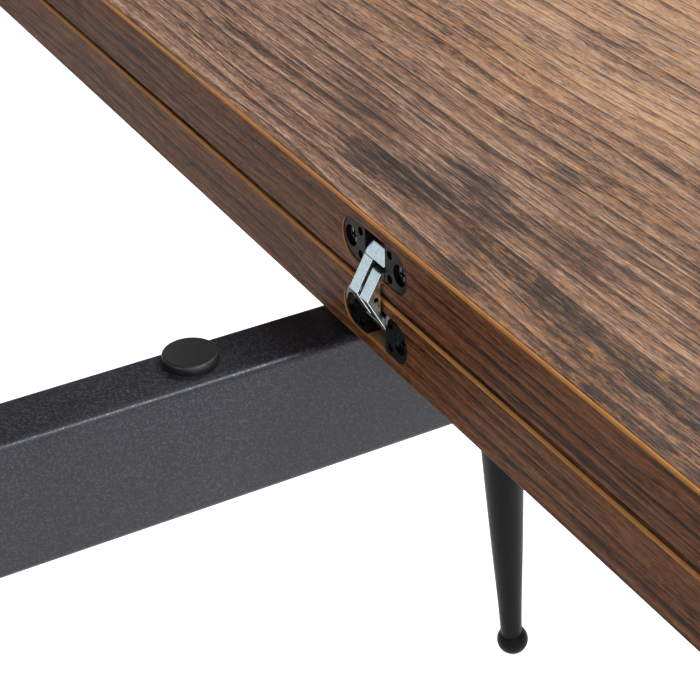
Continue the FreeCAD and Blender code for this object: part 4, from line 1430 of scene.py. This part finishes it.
@dataclass
class LinkHinges(Assembly):
    """Concealed link hinges let into the long edges of both boards.

    Lengths of the link are seen from the end of the fold: out from the fold
    axis, and off from the plane halfway between the folded boards.
    """

    fold_x: float = FOLD_X
    fold_z: float = 0.725
    along: float = 0.274
    pivot_in: float = 0.006
    pivot_off: float = 0.0074
    eye: float = 0.0019
    arm_thick: float = 0.0022
    arm_bend: tuple[float, float] = (0.0050, 0.0055)
    strip_bend: float = 0.0060
    strip_back: float = 0.0032
    foot_front: float = 0.0014
    foot_back: float = 0.0054
    foot_clear: float = 0.0003
    foot_inset: tuple[float, float] = (0.0004, 0.0002)
    ridge_out: float = 0.0059
    reach: float = 0.01087
    lane_near: float = 0.0009
    lane_far: float = 0.0061
    shoulder_off: float = 0.0093
    seam_off: float = 0.0112
    cap_off: float = 0.0160
    cap_thick: float = 0.0018
    cap_gap: float = 0.00006
    cap_right_cut: tuple[float, float] = (0.0047, 0.0143)
    cap_left_cut: tuple[float, float] = (-0.0029, 0.0130)
    inner_out: float = 0.00075
    link_edge: float = 0.00028
    body_edge: float = 0.00015
    screw_edge: float = 0.0001

    def face(self, off: np.ndarray | float) -> np.ndarray | float:
        """Place of the link's sloping face: the ridge at the middle, running back with distance."""
        return -self.ridge_out * (1.0 - np.abs(off) / self.reach)

    def sideways(self, profile: list[tuple[float, float]], near: float,
                 far: float) -> tuple[np.ndarray, np.ndarray]:
        """Block over a profile seen from the fold's end, between two places along the fold.

        Args:
            profile: X and Z of each corner.
            near: where the block begins along Y.
            far: where it ends.

        Returns:
            The two outlines.
        """
        flat = np.array(profile)
        return tuple(np.stack([flat[:, 0], np.full(len(flat), y), flat[:, 1]], axis=1) for y in (near, far))

    def on_face(self, outline: list[tuple[float, float]], thick: float) -> tuple[np.ndarray, np.ndarray]:
        """Block on the sloping face over an outline seen from the front.

        Args:
            outline: Y and Z of each corner.
            thick: depth of the block behind the face.

        Returns:
            The two outlines.
        """
        flat = np.array(outline)
        front = np.stack([self.face(flat[:, 1]), flat[:, 0], flat[:, 1]], axis=1)
        return front, front + (thick, 0.0, 0.0)

    def link(self) -> tuple[np.ndarray, Faces]:
        """The lower board's link about the fold axis: lower arm with its eye, upper strip and cap.

        Returns:
            The points and the faces.
        """
        near, far, inner, seam = self.lane_near, self.lane_far, -self.inner_out, self.seam_off
        middle, low = self.face(0.0), -self.shoulder_off
        eye = arc((self.pivot_in, -self.pivot_off), self.eye, -80.0, 90.0, 12)[::-1]
        arm = [(middle, 0.0), (inner, 0.0), (inner, -self.arm_bend[0]), (0.0, -self.arm_bend[1]),
               *map(tuple, eye.tolist()), (self.face(low) + self.arm_thick, low), (self.face(low), low)]
        strip = [(middle, 0.0), (self.face(seam), seam), (self.strip_back, seam), (inner, self.strip_bend),
                 (inner, 0.0)]
        # The foot fills the cap's hollow, a little clear of its top and sides
        high = self.cap_off - self.foot_clear
        foot = [(self.face(high - 0.1 * MM) + 0.5 * MM, high), (self.foot_back, high), (self.foot_back, seam),
                (self.foot_front, seam)]
        # Seen from the front, both upper corners of the cap are cut off at a slant
        gap = seam + self.cap_gap
        (right, right_off), (left, left_off) = self.cap_right_cut, self.cap_left_cut
        cap = [(far, gap), (far, right_off), (right, self.cap_off), (left, self.cap_off), (-far, left_off),
               (-far, gap)]
        hollow = (near + self.foot_inset[0], far - self.foot_inset[1])
        return thickened([self.sideways(arm, near, far), self.sideways(strip, near, far),
                          self.sideways(foot, *hollow), self.on_face(cap, self.cap_thick)])

    def links(self) -> None:
        """Make both boards' links; the leaf's is the lower one turned half over about X."""
        points, faces = self.link()
        for board in Board:
            half = points if board is Board.LOWER else points * (1.0, -1.0, -1.0)
            every, numbers = [], []
            for index, side in enumerate(Side):
                every.append(half + (self.fold_x, side.value * self.along, self.fold_z))
                numbers += [[corner + index * len(points) for corner in face] for face in faces]
            node = board.value + "_hinge_links"
            thing = piece("bent_" + node, np.concatenate(every), numbers, smooth=35.0)
            soften(thing, self.link_edge)
            self.dress(thing, LINK_ZINC, board.value + "_links", node)

    def build(self) -> None:
        """Dress both halves of the hinges."""
        self.links()
        # The lower board's bodies take the plate darkened as painted shade, the leaf's the plate with its
        # painted brownish sheen
        for board, finish, body in ((Board.LOWER, BLACK_PLATE_PAINTED_SHADE, "lower_board"),
                                    (Board.LEAF, BLACK_PLATE_PAINTED_SHEEN, "folding_leaf")):
            for start, end, edge, skin in (("cast_", "_hinge_bodies", self.body_edge, finish),
                                           ("edged_", "_hinge_screws", self.screw_edge, BLACK_OXIDE_WITH_HOLE_SHADE)):
                name = board.value + end
                self.dress(solid_copy(start + name, self.nodes[name], edge), skin, body, name)
            self.coat(LINK_ZINC, board.value + "_hinge_pins", board.value + "_link_pins")


def main() -> None:
    """Build the scene."""
    logging.basicConfig(level=logging.INFO, format="%(name)s: %(message)s")
    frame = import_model()
    Studio().build()
    for assembly in (TubeFrame, Legs, Swivel, Boards, LinkHinges):
        assembly(frame["nodes"]).build()


if __name__ == "__main__":
    main()
